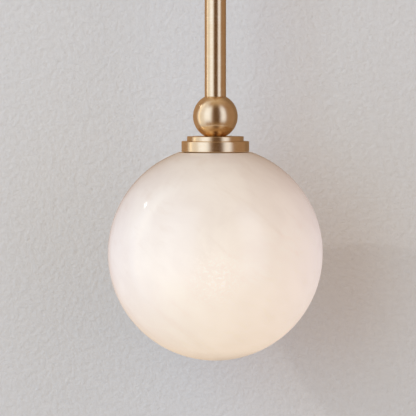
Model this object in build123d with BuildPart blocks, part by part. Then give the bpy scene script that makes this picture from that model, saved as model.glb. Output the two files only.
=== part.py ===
"""Hanging pendant wall sconce: a stone globe on a brass drop rod, carried by a wall arm.

Millimetres. The origin is the centre of the canopy's back, on the wall. +Z is up and the
room lies towards -Y, so the arm runs along -Y and the drop rod hangs parallel to Z.
"""

import os
from math import asin, cos, radians, sin, sqrt

from build123d import *

os.makedirs("parts", exist_ok=True)

# ---------------------------------------------------------------- driving dimensions
# Arm and rod
PROJECTION = 115.0  # wall to the axis of the drop rod
TUBE_DIA = 15.2  # arm and drop rod
TUBE_WALL = 1.6
ROD_LEN = 200.0
BUSHING_LEN = 12.0

# Balls
BALL_DIA = 31.75
BALL_FOOT_DIA = 14.4  # flat under the lower ball

# Canopy on the wall
CANOPY_DIA = 120.0
CANOPY_RIM_DEPTH = 14.0
CANOPY_STEP_DIA = 96.0
CANOPY_STEP_DEPTH = 8.0
CANOPY_WALL = 1.6
EDGE_BREAK = 0.5  # chamfer on the canopy, blind bore ends and the earth screw
FINE_EDGE = 0.35  # chamfer on small turned pieces

# Stepped collar between canopy and arm
COLLAR_DIA = 36.0
COLLAR_HEIGHT = 5.0
COLLAR_STEP_DIA = 26.0
COLLAR_STEP_HEIGHT = 3.0

# Mounting bar and its fasteners
BAR_LEN = 106.0
BAR_WIDTH = 16.0
BAR_THICK = 2.0
BAR_SLOT_SPACING = 88.9
BAR_SLOT_LEN = 12.0
BAR_SLOT_WIDTH = 4.6
BAR_CENTRE_HOLE_DIA = 10.6
STUD_DIA = 4.1
STUD_SPACING = 70.0
STUD_GRIP = 4.5  # thread inside each cap nut
STUD_NUT_AF = 7.0
STUD_NUT_THICK = 2.4
CAP_NUT_DIA = 9.6
CAP_NUT_FLANGE_DIA = 11.0
CAP_NUT_FLANGE_THICK = 1.4
CAP_NUT_HEIGHT = 9.0
GROUND_SCREW_X = -20.0
GROUND_SCREW_DIA = 4.6
GROUND_HEAD_AF = 8.0
GROUND_HEAD_THICK = 3.0

# Hollow threaded nipples, lock nuts and washers
NIPPLE_DIA = 9.7
NIPPLE_BORE = 6.6
NIPPLE_GRIP = 10.0  # nipple inside a bushing
LOCK_NUT_AF = 14.2
LOCK_NUT_THICK = 3.2
LOCK_WASHER_DIA = 17.0
LOCK_WASHER_THICK = 1.0
NIPPLE_TAIL = 2.0  # nipple past its lock nut
LUG_THICK = 0.8
LUG_DIA = 14.0
LUG_TAIL_LEN = 7.0
LUG_TAIL_WIDTH = 3.0

# Swivel elbow
JOURNAL_DIA = 10.0
SPIGOT_BORE = 6.4
SPIGOT_BORE_END = 5.0  # past the ball's centre
WINDOW_WIDTH = 7.4  # opening under the journal for the leads
WINDOW_LEN = 8.0
SWIVEL_WASHER_THICK = 0.5
SWIVEL_PLAY = 0.05
SWIVEL_THREAD_DIA = 8.0
SWIVEL_THREAD_LEN = 4.5
SWIVEL_CAP_RIM = 2.2
SWIVEL_CAP_DOME = 4.6
SWING_LIMIT = 15.0  # degrees each way
STOP_PIN_DIA = 1.6
STOP_PIN_OUT = 10.0  # past the ball's centre
STOP_PIN_TIP_R = 6.9
STOP_PIN_ROOT_R = 2.0
STOP_POCKET_R = 7.2

# Fitter above the globe
CAP_DIA = 40.3
CAP_THICK = 3.4
RING_DIA = 48.0
RING_HEIGHT = 7.6
RING_WEB = 1.6
RIM_WALL = 1.3

# Globe, its threaded collar and gasket
GLOBE_DIA = 152.4
GLOBE_WALL = 9.0
GLOBE_FLAT_DIA = 52.0  # flat ground on top for the fitter
GLOBE_NECK_DIA = 40.0
GLOBE_GAP = 0.3  # fitter rim to the flat
COLLAR_THREAD_DIA = 37.0
COLLAR_BORE = 34.0
FLANGE_DIA = 44.0
FLANGE_THICK = 1.1
SKIRT_LEN = 9.0
COLLAR_TOP_GAP = 0.4
GASKET_THICK = 0.8
GASKET_DIA = 43.6

# Lamp socket and its yoke
HUB_DIA = 13.0
HUB_DROP = 5.0  # fitter nut to the hub
HUB_HEIGHT = 6.0
YOKE_THICK = 1.2
YOKE_WIDTH = 8.0
YOKE_LEG = 22.0
RIVET_DIA = 3.0
RIVET_HEAD_DIA = 5.0
RIVET_HEAD_THICK = 0.8
RIVET_DEPTH = 2.6
RIVET_UP = 4.0  # from the end of each leg
SOCKET_DIA = 22.0
SOCKET_HEIGHT = 32.0
SOCKET_DROP = 9.0  # yoke to the socket's top
SOCKET_MOUTH_DIA = 15.4
SOCKET_LIP = 1.5
SHELL_WALL = 0.4
SHELL_LEN = 20.0
SHELL_RIM = 2.2  # inward rim on top of the screw shell
CONTACT_DIA = 7.0
CONTACT_THICK = 0.6
TONGUE_DROP = 2.0
TONGUE_WIDTH = 3.0
LINE_HOLE_X = 2.4
NEUTRAL_HOLE_X = -5.4

# Bulb
BULB_DIA = 25.4
BULB_GLASS_LEN = 66.0
BULB_GLASS_WALL = 0.8
BULB_NECK_DIA = 10.6
BULB_NECK_GRIP = 3.0  # glass neck inside the lamp base
# stations down the bulb, as shares of its greatest radius and of its length
BULB_OUTLINE_RATIOS = ((0.50, 0.14), (0.86, 0.33), (1.0, 0.52), (0.90, 0.75), (0.58, 0.92))
BULB_BASE_DIA = 11.9
BULB_BASE_WALL = 0.3
BULB_BASE_LEN = 16.5
BULB_INSULATOR_DIA = 9.6
BULB_INSULATOR_LEN = 2.6
BULB_BUTTON_DIA = 4.4
BULB_BUTTON_LEN = 1.2
LED_POST_DIA = 6.0
LED_POST_LEN = 42.0
LED_POST_FLARE = 8.0

# Leads
LEAD_DIA = 2.0
LEAD_PITCH = 2.1  # centre to centre of line and neutral
LEAD_BEND = 5.0  # at the elbow
LEAD_TAIL_OUT = 6.7  # tails run this far out from the wall
TAIL_ROUTE = ((3.0, -17.0), (15.0, -28.0), (19.0, -38.0))  # x and z of each tail
TAIL_BENDS = (5.5, 12.0, 18.0)
SOCKET_BENDS = (7.0, 7.0)  # where each lead spreads to its hole in the socket
GROUND_WIRE_DIA = 1.8
GROUND_LOOP_X = -30.0
GROUND_BEND = 5.4
CONNECTOR_DIA = 8.4
CONNECTOR_TIP_DIA = 6.0
CONNECTOR_LEN = 14.0
CONNECTOR_GRIP = 5.0  # lead inside its connector

# Clearances, all radial
THREAD_FIT = 0.05  # plain-turned threads, brazed and bonded pieces
HOLE_FIT = 0.15  # bolts and nipples in plain holes
RUNNING_FIT = 0.05  # journal in the swivel ball
GLOBE_THREAD_FIT = 0.3  # coarse thread between fitter and globe
SCREW_SHELL_FIT = 0.25  # lamp base in its screw shell

# ---------------------------------------------------------------- worked-out places
BALL_R = BALL_DIA / 2
TUBE_R = TUBE_DIA / 2
TUBE_BORE_R = TUBE_R - TUBE_WALL
NIPPLE_R = NIPPLE_DIA / 2
TAPPED_R = NIPPLE_R + THREAD_FIT
BALL_SEAT = sqrt(BALL_R**2 - TUBE_R**2)  # ball centre to a tube's end
BALL_FOOT = sqrt(BALL_R**2 - (BALL_FOOT_DIA / 2) ** 2)

# distances out from the wall
CANOPY_FRONT = CANOPY_RIM_DEPTH + CANOPY_STEP_DEPTH
CANOPY_INSIDE = CANOPY_FRONT - CANOPY_WALL
ARM_START = CANOPY_FRONT + COLLAR_HEIGHT + COLLAR_STEP_HEIGHT
SEAT_BACK = PROJECTION - BALL_SEAT
SEAT_FRONT = PROJECTION + BALL_SEAT
ARM_END = SEAT_BACK - SWIVEL_PLAY - SWIVEL_WASHER_THICK
SWIVEL_CAP_BACK = SEAT_FRONT + SWIVEL_PLAY + SWIVEL_WASHER_THICK
LUG_BACK = CANOPY_INSIDE - LUG_THICK
ARM_WASHER_BACK = LUG_BACK - LOCK_WASHER_THICK
ARM_NUT_BACK = ARM_WASHER_BACK - LOCK_NUT_THICK
ARM_NIPPLE_BACK = ARM_NUT_BACK - NIPPLE_TAIL

# heights, from the arm's axis
ROD_TOP = -BALL_SEAT
ROD_END = ROD_TOP - ROD_LEN
LOWER_BALL_Z = ROD_END - BALL_SEAT
CAP_TOP = LOWER_BALL_Z - BALL_FOOT
RING_TOP = CAP_TOP - CAP_THICK
RING_END = RING_TOP - RING_HEIGHT
WEB_UNDER = RING_TOP - RING_WEB
GLOBE_TOP = RING_END - GLOBE_GAP
GLOBE_R = GLOBE_DIA / 2
GLOBE_Z = GLOBE_TOP - sqrt(GLOBE_R**2 - (GLOBE_FLAT_DIA / 2) ** 2)
GLOBE_BORE_R = GLOBE_R - GLOBE_WALL
FLANGE_TOP = GLOBE_TOP + FLANGE_THICK
GASKET_TOP = FLANGE_TOP + GASKET_THICK
WASHER_UNDER = WEB_UNDER - LOCK_WASHER_THICK
NUT_UNDER = WASHER_UNDER - LOCK_NUT_THICK
HUB_TOP = NUT_UNDER - HUB_DROP
YOKE_TOP = HUB_TOP - HUB_HEIGHT
YOKE_UNDER = YOKE_TOP - YOKE_THICK
SOCKET_TOP = YOKE_UNDER - SOCKET_DROP
SOCKET_END = SOCKET_TOP - SOCKET_HEIGHT
BULB_SEAT = SOCKET_END  # end of the lamp base, level with the socket's mouth
BULB_BASE_TOP = BULB_SEAT + BULB_BASE_LEN
BULB_INSULATOR_TOP = BULB_BASE_TOP + BULB_INSULATOR_LEN
BULB_TIP = BULB_INSULATOR_TOP + BULB_BUTTON_LEN
CONTACT_UNDER = BULB_TIP + THREAD_FIT + TONGUE_DROP
CAVITY_TOP = CONTACT_UNDER + CONTACT_THICK
SHELL_BORE_R = BULB_BASE_DIA / 2 + SCREW_SHELL_FIT
SHELL_R = SHELL_BORE_R + SHELL_WALL
SHELL_END = SOCKET_END + SOCKET_LIP
SHELL_TOP = SHELL_END + SHELL_LEN

# working planes and axes
OUT_PLANE = Plane(origin=(0, 0, 0), x_dir=(1, 0, 0), z_dir=(0, 0, -1))  # x radius, y out
ROD_PLANE = Plane.XZ.offset(PROJECTION)  # x radius, y height
ROD_AXIS = Axis((0, -PROJECTION, 0), (0, 0, 1))


def out_plane(distance):
    """Plane parallel to the wall, that far out from it, facing the room."""
    return Plane.XZ.offset(distance)


def nut_plane(side):
    """Working plane of OUT_PLANE's kind, centred on the stud of that side."""
    return Plane(origin=(side * STUD_SPACING / 2, 0, 0), x_dir=(1, 0, 0), z_dir=(0, 0, -1))


def dome_middle(radius, rise):
    """Middle point of a dome's profile, as (radius, height over the dome's foot)."""
    sphere_r = (radius**2 + rise**2) / (2 * rise)
    half_angle = asin(radius / sphere_r) / 2
    return sphere_r * sin(half_angle), rise - sphere_r * (1 - cos(half_angle))


def level_plane(height):
    """Level plane centred on the drop rod's axis."""
    return Plane(origin=(0, -PROJECTION, height), x_dir=(1, 0, 0), z_dir=(0, 0, 1))


# ================================================================ wall side
# Mounting bar: a flat strap with round ends, lying against the wall
with BuildPart() as mounting_bar:
    with BuildSketch(Plane.XZ):
        SlotOverall(BAR_LEN, BAR_WIDTH)
        Circle(BAR_CENTRE_HOLE_DIA / 2, mode=Mode.SUBTRACT)
        with GridLocations(BAR_SLOT_SPACING, 0, 2, 1):
            SlotOverall(BAR_SLOT_LEN, BAR_SLOT_WIDTH, mode=Mode.SUBTRACT)
        with GridLocations(STUD_SPACING, 0, 2, 1):
            Circle(STUD_DIA / 2 + THREAD_FIT, mode=Mode.SUBTRACT)
        with Locations((GROUND_SCREW_X, 0)):
            Circle(GROUND_SCREW_DIA / 2 + THREAD_FIT, mode=Mode.SUBTRACT)
    extrude(amount=BAR_THICK)
mounting_bar.part.label = "mounting_bar"
export_step(mounting_bar.part, "parts/mounting_bar.step")

# Ground screw: hexagon head on the bar, shank flush with the bar's back
with BuildPart() as ground_screw:
    with BuildSketch(Plane.XZ):
        with Locations((GROUND_SCREW_X, 0)):
            Circle(GROUND_SCREW_DIA / 2)
    extrude(amount=BAR_THICK + GROUND_WIRE_DIA)
    with BuildSketch(out_plane(BAR_THICK + GROUND_WIRE_DIA)):
        with Locations((GROUND_SCREW_X, 0)):
            RegularPolygon(GROUND_HEAD_AF / 2, 6, major_radius=False)
    extrude(amount=GROUND_HEAD_THICK)
    chamfer(ground_screw.faces().sort_by(Axis.Y)[0].edges(), EDGE_BREAK)
ground_screw.part.label = "ground_screw"
export_step(ground_screw.part, "parts/ground_screw.step")

# Studs from the bar to the cap nuts, and the nuts that lock them
with BuildPart() as canopy_studs:
    with BuildSketch(Plane.XZ):
        with GridLocations(STUD_SPACING, 0, 2, 1):
            Circle(STUD_DIA / 2)
    extrude(amount=CANOPY_FRONT + STUD_GRIP)
canopy_studs.part.label = "canopy_studs"
export_step(canopy_studs.part, "parts/canopy_studs.step")

with BuildPart() as stud_nuts:
    with BuildSketch(out_plane(BAR_THICK)):
        with GridLocations(STUD_SPACING, 0, 2, 1):
            RegularPolygon(STUD_NUT_AF / 2, 6, major_radius=False)
            Circle(STUD_DIA / 2 + THREAD_FIT, mode=Mode.SUBTRACT)
    extrude(amount=STUD_NUT_THICK)
stud_nuts.part.label = "stud_nuts"
export_step(stud_nuts.part, "parts/stud_nuts.step")

# Canopy: a turned cup in two tiers, open to the wall
with BuildPart() as canopy:
    with BuildSketch(OUT_PLANE):
        with BuildLine():
            Polyline(
                (CANOPY_DIA / 2 - CANOPY_WALL, 0),
                (CANOPY_DIA / 2, 0),
                (CANOPY_DIA / 2, CANOPY_RIM_DEPTH - EDGE_BREAK),
                (CANOPY_DIA / 2 - EDGE_BREAK, CANOPY_RIM_DEPTH),
                (CANOPY_STEP_DIA / 2, CANOPY_RIM_DEPTH),
                (CANOPY_STEP_DIA / 2, CANOPY_FRONT - EDGE_BREAK),
                (CANOPY_STEP_DIA / 2 - EDGE_BREAK, CANOPY_FRONT),
                (NIPPLE_R + HOLE_FIT, CANOPY_FRONT),
                (NIPPLE_R + HOLE_FIT, CANOPY_INSIDE),
                (CANOPY_STEP_DIA / 2 - CANOPY_WALL, CANOPY_INSIDE),
                (CANOPY_STEP_DIA / 2 - CANOPY_WALL, CANOPY_RIM_DEPTH - CANOPY_WALL),
                (CANOPY_DIA / 2 - CANOPY_WALL, CANOPY_RIM_DEPTH - CANOPY_WALL),
                close=True,
            )
        make_face()
    revolve(axis=Axis.Y)
    with BuildSketch(out_plane(CANOPY_INSIDE)):
        with GridLocations(STUD_SPACING, 0, 2, 1):
            Circle(STUD_DIA / 2 + HOLE_FIT)
    extrude(amount=CANOPY_WALL, mode=Mode.SUBTRACT)
canopy.part.label = "canopy"
export_step(canopy.part, "parts/canopy.step")

# Cap nuts: a thin flange under a round head, bored blind from the back
CAP_NUT_R = CAP_NUT_DIA / 2
CAP_NUT_SHOULDER = CANOPY_FRONT + CAP_NUT_HEIGHT - CAP_NUT_R
CAP_NUT_BORE_R = STUD_DIA / 2 + THREAD_FIT
with BuildPart() as canopy_cap_nuts:
    for side in (-1, 1):
        with BuildSketch(nut_plane(side)):
            with BuildLine():
                dome_r, dome_rise = dome_middle(CAP_NUT_R, CAP_NUT_R)
                Polyline(
                    (0, CANOPY_FRONT + CAP_NUT_HEIGHT),
                    (0, CANOPY_FRONT + STUD_GRIP + EDGE_BREAK),
                    (CAP_NUT_BORE_R, CANOPY_FRONT + STUD_GRIP + EDGE_BREAK),
                    (CAP_NUT_BORE_R, CANOPY_FRONT),
                    (CAP_NUT_FLANGE_DIA / 2, CANOPY_FRONT),
                    (CAP_NUT_FLANGE_DIA / 2, CANOPY_FRONT + CAP_NUT_FLANGE_THICK),
                    (CAP_NUT_R, CANOPY_FRONT + CAP_NUT_FLANGE_THICK),
                    (CAP_NUT_R, CAP_NUT_SHOULDER),
                )
                ThreePointArc(
                    (CAP_NUT_R, CAP_NUT_SHOULDER),
                    (dome_r, CAP_NUT_SHOULDER + dome_rise),
                    (0, CANOPY_FRONT + CAP_NUT_HEIGHT),
                )
            make_face()
        revolve(axis=Axis((side * STUD_SPACING / 2, 0, 0), (0, 1, 0)))
canopy_cap_nuts.part.label = "canopy_cap_nuts"
export_step(canopy_cap_nuts.part, "parts/canopy_cap_nuts.step")

# Arm nipple: hollow thread from inside the canopy into the arm
with BuildPart() as arm_nipple:
    with BuildSketch(out_plane(ARM_NIPPLE_BACK)):
        Circle(NIPPLE_R)
        Circle(NIPPLE_BORE / 2, mode=Mode.SUBTRACT)
    extrude(amount=ARM_START + NIPPLE_GRIP - ARM_NIPPLE_BACK)
arm_nipple.part.label = "arm_nipple"
export_step(arm_nipple.part, "parts/arm_nipple.step")

# Ground lug: ring and tail clamped on the nipple inside the canopy
with BuildPart() as ground_lug:
    with BuildSketch(out_plane(LUG_BACK)):
        Circle(LUG_DIA / 2)
        with Locations((-(LUG_DIA + LUG_TAIL_LEN) / 2, 0)):
            SlotOverall(LUG_TAIL_LEN + LUG_TAIL_WIDTH, LUG_TAIL_WIDTH)
        Circle(NIPPLE_R + HOLE_FIT, mode=Mode.SUBTRACT)
    extrude(amount=LUG_THICK)
ground_lug.part.label = "ground_lug"
export_step(ground_lug.part, "parts/ground_lug.step")

# Arm washer and nut: they pull canopy, collar and arm together
with BuildPart() as arm_lock_washer:
    with BuildSketch(out_plane(ARM_WASHER_BACK)):
        Circle(LOCK_WASHER_DIA / 2)
        Circle(NIPPLE_R + HOLE_FIT, mode=Mode.SUBTRACT)
    extrude(amount=LOCK_WASHER_THICK)
arm_lock_washer.part.label = "arm_lock_washer"
export_step(arm_lock_washer.part, "parts/arm_lock_washer.step")

with BuildPart() as arm_lock_nut:
    with BuildSketch(out_plane(ARM_NUT_BACK)):
        RegularPolygon(LOCK_NUT_AF / 2, 6, major_radius=False)
        Circle(TAPPED_R, mode=Mode.SUBTRACT)
    extrude(amount=LOCK_NUT_THICK)
arm_lock_nut.part.label = "arm_lock_nut"
export_step(arm_lock_nut.part, "parts/arm_lock_nut.step")

# Arm collar: two turned steps where the arm leaves the canopy
with BuildPart() as arm_collar:
    with BuildSketch(OUT_PLANE):
        with BuildLine():
            Polyline(
                (NIPPLE_R + HOLE_FIT, CANOPY_FRONT),
                (COLLAR_DIA / 2, CANOPY_FRONT),
                (COLLAR_DIA / 2, CANOPY_FRONT + COLLAR_HEIGHT - FINE_EDGE),
                (COLLAR_DIA / 2 - FINE_EDGE, CANOPY_FRONT + COLLAR_HEIGHT),
                (COLLAR_STEP_DIA / 2, CANOPY_FRONT + COLLAR_HEIGHT),
                (COLLAR_STEP_DIA / 2, ARM_START - FINE_EDGE),
                (COLLAR_STEP_DIA / 2 - FINE_EDGE, ARM_START),
                (NIPPLE_R + HOLE_FIT, ARM_START),
                close=True,
            )
        make_face()
    revolve(axis=Axis.Y)
arm_collar.part.label = "arm_collar"
export_step(arm_collar.part, "parts/arm_collar.step")

# Arm: a straight tube with a tapped bush in its wall end
with BuildPart() as arm_tube:
    with BuildSketch(out_plane(ARM_START)):
        Circle(TUBE_R)
        Circle(TUBE_BORE_R, mode=Mode.SUBTRACT)
    extrude(amount=ARM_END - ARM_START)
arm_tube.part.label = "arm_tube"
export_step(arm_tube.part, "parts/arm_tube.step")

with BuildPart() as arm_bushing:
    with BuildSketch(out_plane(ARM_START)):
        Circle(TUBE_BORE_R - THREAD_FIT)
        Circle(TAPPED_R, mode=Mode.SUBTRACT)
    extrude(amount=BUSHING_LEN)
arm_bushing.part.label = "arm_bushing"
export_step(arm_bushing.part, "parts/arm_bushing.step")

# Swivel spigot: plug in the arm, hollow journal through the ball, thread for the cap.
# A window under the journal lets the leads turn down into the rod while the ball swings.
JOURNAL_R = JOURNAL_DIA / 2
SWIVEL_THREAD_R = SWIVEL_THREAD_DIA / 2
STOP_PIN_R = STOP_PIN_DIA / 2
PLUG_BACK = ARM_END - BUSHING_LEN
with BuildPart() as swivel_spigot:
    with BuildSketch(OUT_PLANE):
        with BuildLine():
            Polyline(
                (SPIGOT_BORE / 2, PLUG_BACK),
                (TUBE_BORE_R - THREAD_FIT, PLUG_BACK),
                (TUBE_BORE_R - THREAD_FIT, ARM_END),
                (JOURNAL_R, ARM_END),
                (JOURNAL_R, SWIVEL_CAP_BACK),
                (SWIVEL_THREAD_R, SWIVEL_CAP_BACK),
                (SWIVEL_THREAD_R, SWIVEL_CAP_BACK + SWIVEL_THREAD_LEN),
                (0, SWIVEL_CAP_BACK + SWIVEL_THREAD_LEN),
                (0, PROJECTION + SPIGOT_BORE_END),
                (SPIGOT_BORE / 2, PROJECTION + SPIGOT_BORE_END),
                close=True,
            )
        make_face()
    revolve(axis=Axis.Y)
    with BuildSketch(level_plane(0)):
        Rectangle(WINDOW_WIDTH, WINDOW_LEN)
    extrude(amount=-JOURNAL_DIA, mode=Mode.SUBTRACT)
    with BuildSketch(level_plane(STOP_PIN_ROOT_R)):
        with Locations((0, -STOP_PIN_OUT)):
            Circle(STOP_PIN_R + THREAD_FIT)
    extrude(amount=JOURNAL_DIA, mode=Mode.SUBTRACT)
swivel_spigot.part.label = "swivel_spigot"
export_step(swivel_spigot.part, "parts/swivel_spigot.step")

# Stop pin: stands up out of the journal into the ball's pocket
with BuildPart() as stop_pin:
    with BuildSketch(level_plane(STOP_PIN_ROOT_R)):
        with Locations((0, -STOP_PIN_OUT)):
            Circle(STOP_PIN_R)
    extrude(amount=STOP_PIN_TIP_R - STOP_PIN_ROOT_R)
stop_pin.part.label = "stop_pin"
export_step(stop_pin.part, "parts/stop_pin.step")

# Swivel washers: one on each side of the ball
with BuildPart() as swivel_washers:
    for back in (ARM_END, SWIVEL_CAP_BACK - SWIVEL_WASHER_THICK):
        with BuildSketch(out_plane(back)):
            Circle(TUBE_R)
            Circle(JOURNAL_R + THREAD_FIT, mode=Mode.SUBTRACT)
        extrude(amount=SWIVEL_WASHER_THICK)
swivel_washers.part.label = "swivel_washers"
export_step(swivel_washers.part, "parts/swivel_washers.step")

# Swivel cap: domed nut that closes the front of the elbow
CAP_SHOULDER = SWIVEL_CAP_BACK + SWIVEL_CAP_RIM
CAP_BORE_END = SWIVEL_CAP_BACK + SWIVEL_THREAD_LEN + EDGE_BREAK
with BuildPart() as swivel_cap:
    with BuildSketch(OUT_PLANE):
        with BuildLine():
            dome_r, dome_rise = dome_middle(TUBE_R, SWIVEL_CAP_DOME)
            Polyline(
                (0, CAP_SHOULDER + SWIVEL_CAP_DOME),
                (0, CAP_BORE_END),
                (SWIVEL_THREAD_R + THREAD_FIT, CAP_BORE_END),
                (SWIVEL_THREAD_R + THREAD_FIT, SWIVEL_CAP_BACK),
                (TUBE_R, SWIVEL_CAP_BACK),
                (TUBE_R, CAP_SHOULDER),
            )
            ThreePointArc(
                (TUBE_R, CAP_SHOULDER),
                (dome_r, CAP_SHOULDER + dome_rise),
                (0, CAP_SHOULDER + SWIVEL_CAP_DOME),
            )
        make_face()
    revolve(axis=Axis.Y)
swivel_cap.part.label = "swivel_cap"
export_step(swivel_cap.part, "parts/swivel_cap.step")

# ================================================================ hanging side
# Swivel ball: bored for the journal, flat on both cheeks and where the rod screws in,
# with a pocket on the front that the stop pin runs in
NIPPLE_UP = -(JOURNAL_R + NIPPLE_TAIL)  # upper nipple's end, just under the journal
POCKET_BACK = PROJECTION + STOP_PIN_OUT - STOP_PIN_R - HOLE_FIT
pocket_half = radians(SWING_LIMIT) + asin((STOP_PIN_R + HOLE_FIT) / JOURNAL_R)
with BuildPart() as swivel_ball:
    with BuildSketch(OUT_PLANE):
        with BuildLine():
            Polyline(
                (TUBE_R, SEAT_FRONT),
                (JOURNAL_R + RUNNING_FIT, SEAT_FRONT),
                (JOURNAL_R + RUNNING_FIT, SEAT_BACK),
                (TUBE_R, SEAT_BACK),
            )
            ThreePointArc((TUBE_R, SEAT_BACK), (BALL_R, PROJECTION), (TUBE_R, SEAT_FRONT))
        make_face()
    revolve(axis=Axis.Y)
    split(bisect_by=Plane.XY.offset(ROD_TOP), keep=Keep.TOP)
    with BuildSketch(level_plane(ROD_TOP)):
        Circle(TAPPED_R)
    extrude(amount=NIPPLE_UP - ROD_TOP, mode=Mode.SUBTRACT)
    with BuildSketch(level_plane(ROD_TOP)):
        Circle(NIPPLE_BORE / 2)
    extrude(amount=-ROD_TOP, mode=Mode.SUBTRACT)
    with BuildSketch(out_plane(SEAT_FRONT)):
        Circle(STOP_POCKET_R)
        with BuildLine():
            Polyline(
                (0, 0),
                (BALL_DIA * sin(pocket_half), BALL_DIA * cos(pocket_half)),
                (-BALL_DIA * sin(pocket_half), BALL_DIA * cos(pocket_half)),
                close=True,
            )
        make_face(mode=Mode.INTERSECT)
    extrude(amount=POCKET_BACK - SEAT_FRONT, mode=Mode.SUBTRACT)
swivel_ball.part.label = "swivel_ball"
export_step(swivel_ball.part, "parts/swivel_ball.step")

# Upper nipple: joins the swivel ball and the rod
with BuildPart() as upper_nipple:
    with BuildSketch(level_plane(ROD_TOP - NIPPLE_GRIP)):
        Circle(NIPPLE_R)
        Circle(NIPPLE_BORE / 2, mode=Mode.SUBTRACT)
    extrude(amount=NIPPLE_UP - ROD_TOP + NIPPLE_GRIP)
upper_nipple.part.label = "upper_nipple"
export_step(upper_nipple.part, "parts/upper_nipple.step")

# Drop rod and the tapped bushes brazed in its ends
with BuildPart() as drop_rod:
    with BuildSketch(level_plane(ROD_END)):
        Circle(TUBE_R)
        Circle(TUBE_BORE_R, mode=Mode.SUBTRACT)
    extrude(amount=ROD_LEN)
drop_rod.part.label = "drop_rod"
export_step(drop_rod.part, "parts/drop_rod.step")

with BuildPart() as rod_bushings:
    for foot in (ROD_END, ROD_TOP - BUSHING_LEN):
        with BuildSketch(level_plane(foot)):
            Circle(TUBE_BORE_R - THREAD_FIT)
            Circle(TAPPED_R, mode=Mode.SUBTRACT)
        extrude(amount=BUSHING_LEN)
rod_bushings.part.label = "rod_bushings"
export_step(rod_bushings.part, "parts/rod_bushings.step")

# Lower ball: bored right through for the long nipple
with BuildPart() as lower_ball:
    with BuildSketch(ROD_PLANE):
        with BuildLine():
            Polyline(
                (BALL_FOOT_DIA / 2, CAP_TOP),
                (TAPPED_R, CAP_TOP),
                (TAPPED_R, ROD_END),
                (TUBE_R, ROD_END),
            )
            ThreePointArc(
                (TUBE_R, ROD_END), (BALL_R, LOWER_BALL_Z), (BALL_FOOT_DIA / 2, CAP_TOP)
            )
        make_face()
    revolve(axis=ROD_AXIS)
lower_ball.part.label = "lower_ball"
export_step(lower_ball.part, "parts/lower_ball.step")

# Through nipple: rod, ball and fitter hang on it, and the socket's yoke below them
with BuildPart() as through_nipple:
    with BuildSketch(level_plane(YOKE_TOP)):
        Circle(NIPPLE_R)
        Circle(NIPPLE_BORE / 2, mode=Mode.SUBTRACT)
    extrude(amount=ROD_END + NIPPLE_GRIP - YOKE_TOP)
through_nipple.part.label = "through_nipple"
export_step(through_nipple.part, "parts/through_nipple.step")

# Fitter: a plain disc over a wider ring that takes the globe's thread
with BuildPart() as fitter_cap:
    with BuildSketch(ROD_PLANE):
        with BuildLine():
            Polyline(
                (NIPPLE_R + HOLE_FIT, RING_TOP),
                (CAP_DIA / 2, RING_TOP),
                (CAP_DIA / 2, CAP_TOP - FINE_EDGE),
                (CAP_DIA / 2 - FINE_EDGE, CAP_TOP),
                (NIPPLE_R + HOLE_FIT, CAP_TOP),
                close=True,
            )
        make_face()
    revolve(axis=ROD_AXIS)
fitter_cap.part.label = "fitter_cap"
export_step(fitter_cap.part, "parts/fitter_cap.step")

RING_R = RING_DIA / 2
RING_THREAD_R = COLLAR_THREAD_DIA / 2 + GLOBE_THREAD_FIT
with BuildPart() as fitter_ring:
    with BuildSketch(ROD_PLANE):
        with BuildLine():
            Polyline(
                (NIPPLE_R + HOLE_FIT, RING_TOP),
                (RING_R - FINE_EDGE, RING_TOP),
                (RING_R, RING_TOP - FINE_EDGE),
                (RING_R, RING_END + FINE_EDGE),
                (RING_R - FINE_EDGE, RING_END),
                (RING_R - RIM_WALL, RING_END),
                (RING_R - RIM_WALL, GASKET_TOP),
                (RING_THREAD_R, GASKET_TOP),
                (RING_THREAD_R, WEB_UNDER),
                (NIPPLE_R + HOLE_FIT, WEB_UNDER),
                close=True,
            )
        make_face()
    revolve(axis=ROD_AXIS)
fitter_ring.part.label = "fitter_ring"
export_step(fitter_ring.part, "parts/fitter_ring.step")

with BuildPart() as fitter_washer:
    with BuildSketch(level_plane(WASHER_UNDER)):
        Circle(LOCK_WASHER_DIA / 2)
        Circle(NIPPLE_R + HOLE_FIT, mode=Mode.SUBTRACT)
    extrude(amount=LOCK_WASHER_THICK)
fitter_washer.part.label = "fitter_washer"
export_step(fitter_washer.part, "parts/fitter_washer.step")

with BuildPart() as fitter_nut:
    with BuildSketch(level_plane(NUT_UNDER)):
        RegularPolygon(LOCK_NUT_AF / 2, 6, major_radius=False)
        Circle(TAPPED_R, mode=Mode.SUBTRACT)
    extrude(amount=LOCK_NUT_THICK)
fitter_nut.part.label = "fitter_nut"
export_step(fitter_nut.part, "parts/fitter_nut.step")

# Socket yoke: a bent strap with a tapped hub, riveted to both sides of the socket
SOCKET_R = SOCKET_DIA / 2
LEG_INSIDE = SOCKET_R + THREAD_FIT
LEG_OUTSIDE = LEG_INSIDE + YOKE_THICK
LEG_END = YOKE_TOP - YOKE_LEG
RIVET_Z = LEG_END + RIVET_UP


def rivet_plane(side, distance):
    """Upright plane across X at that distance, on the rivets' axis, facing outwards."""
    return Plane(
        origin=(side * distance, -PROJECTION, RIVET_Z), x_dir=(0, 1, 0), z_dir=(side, 0, 0)
    )


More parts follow.
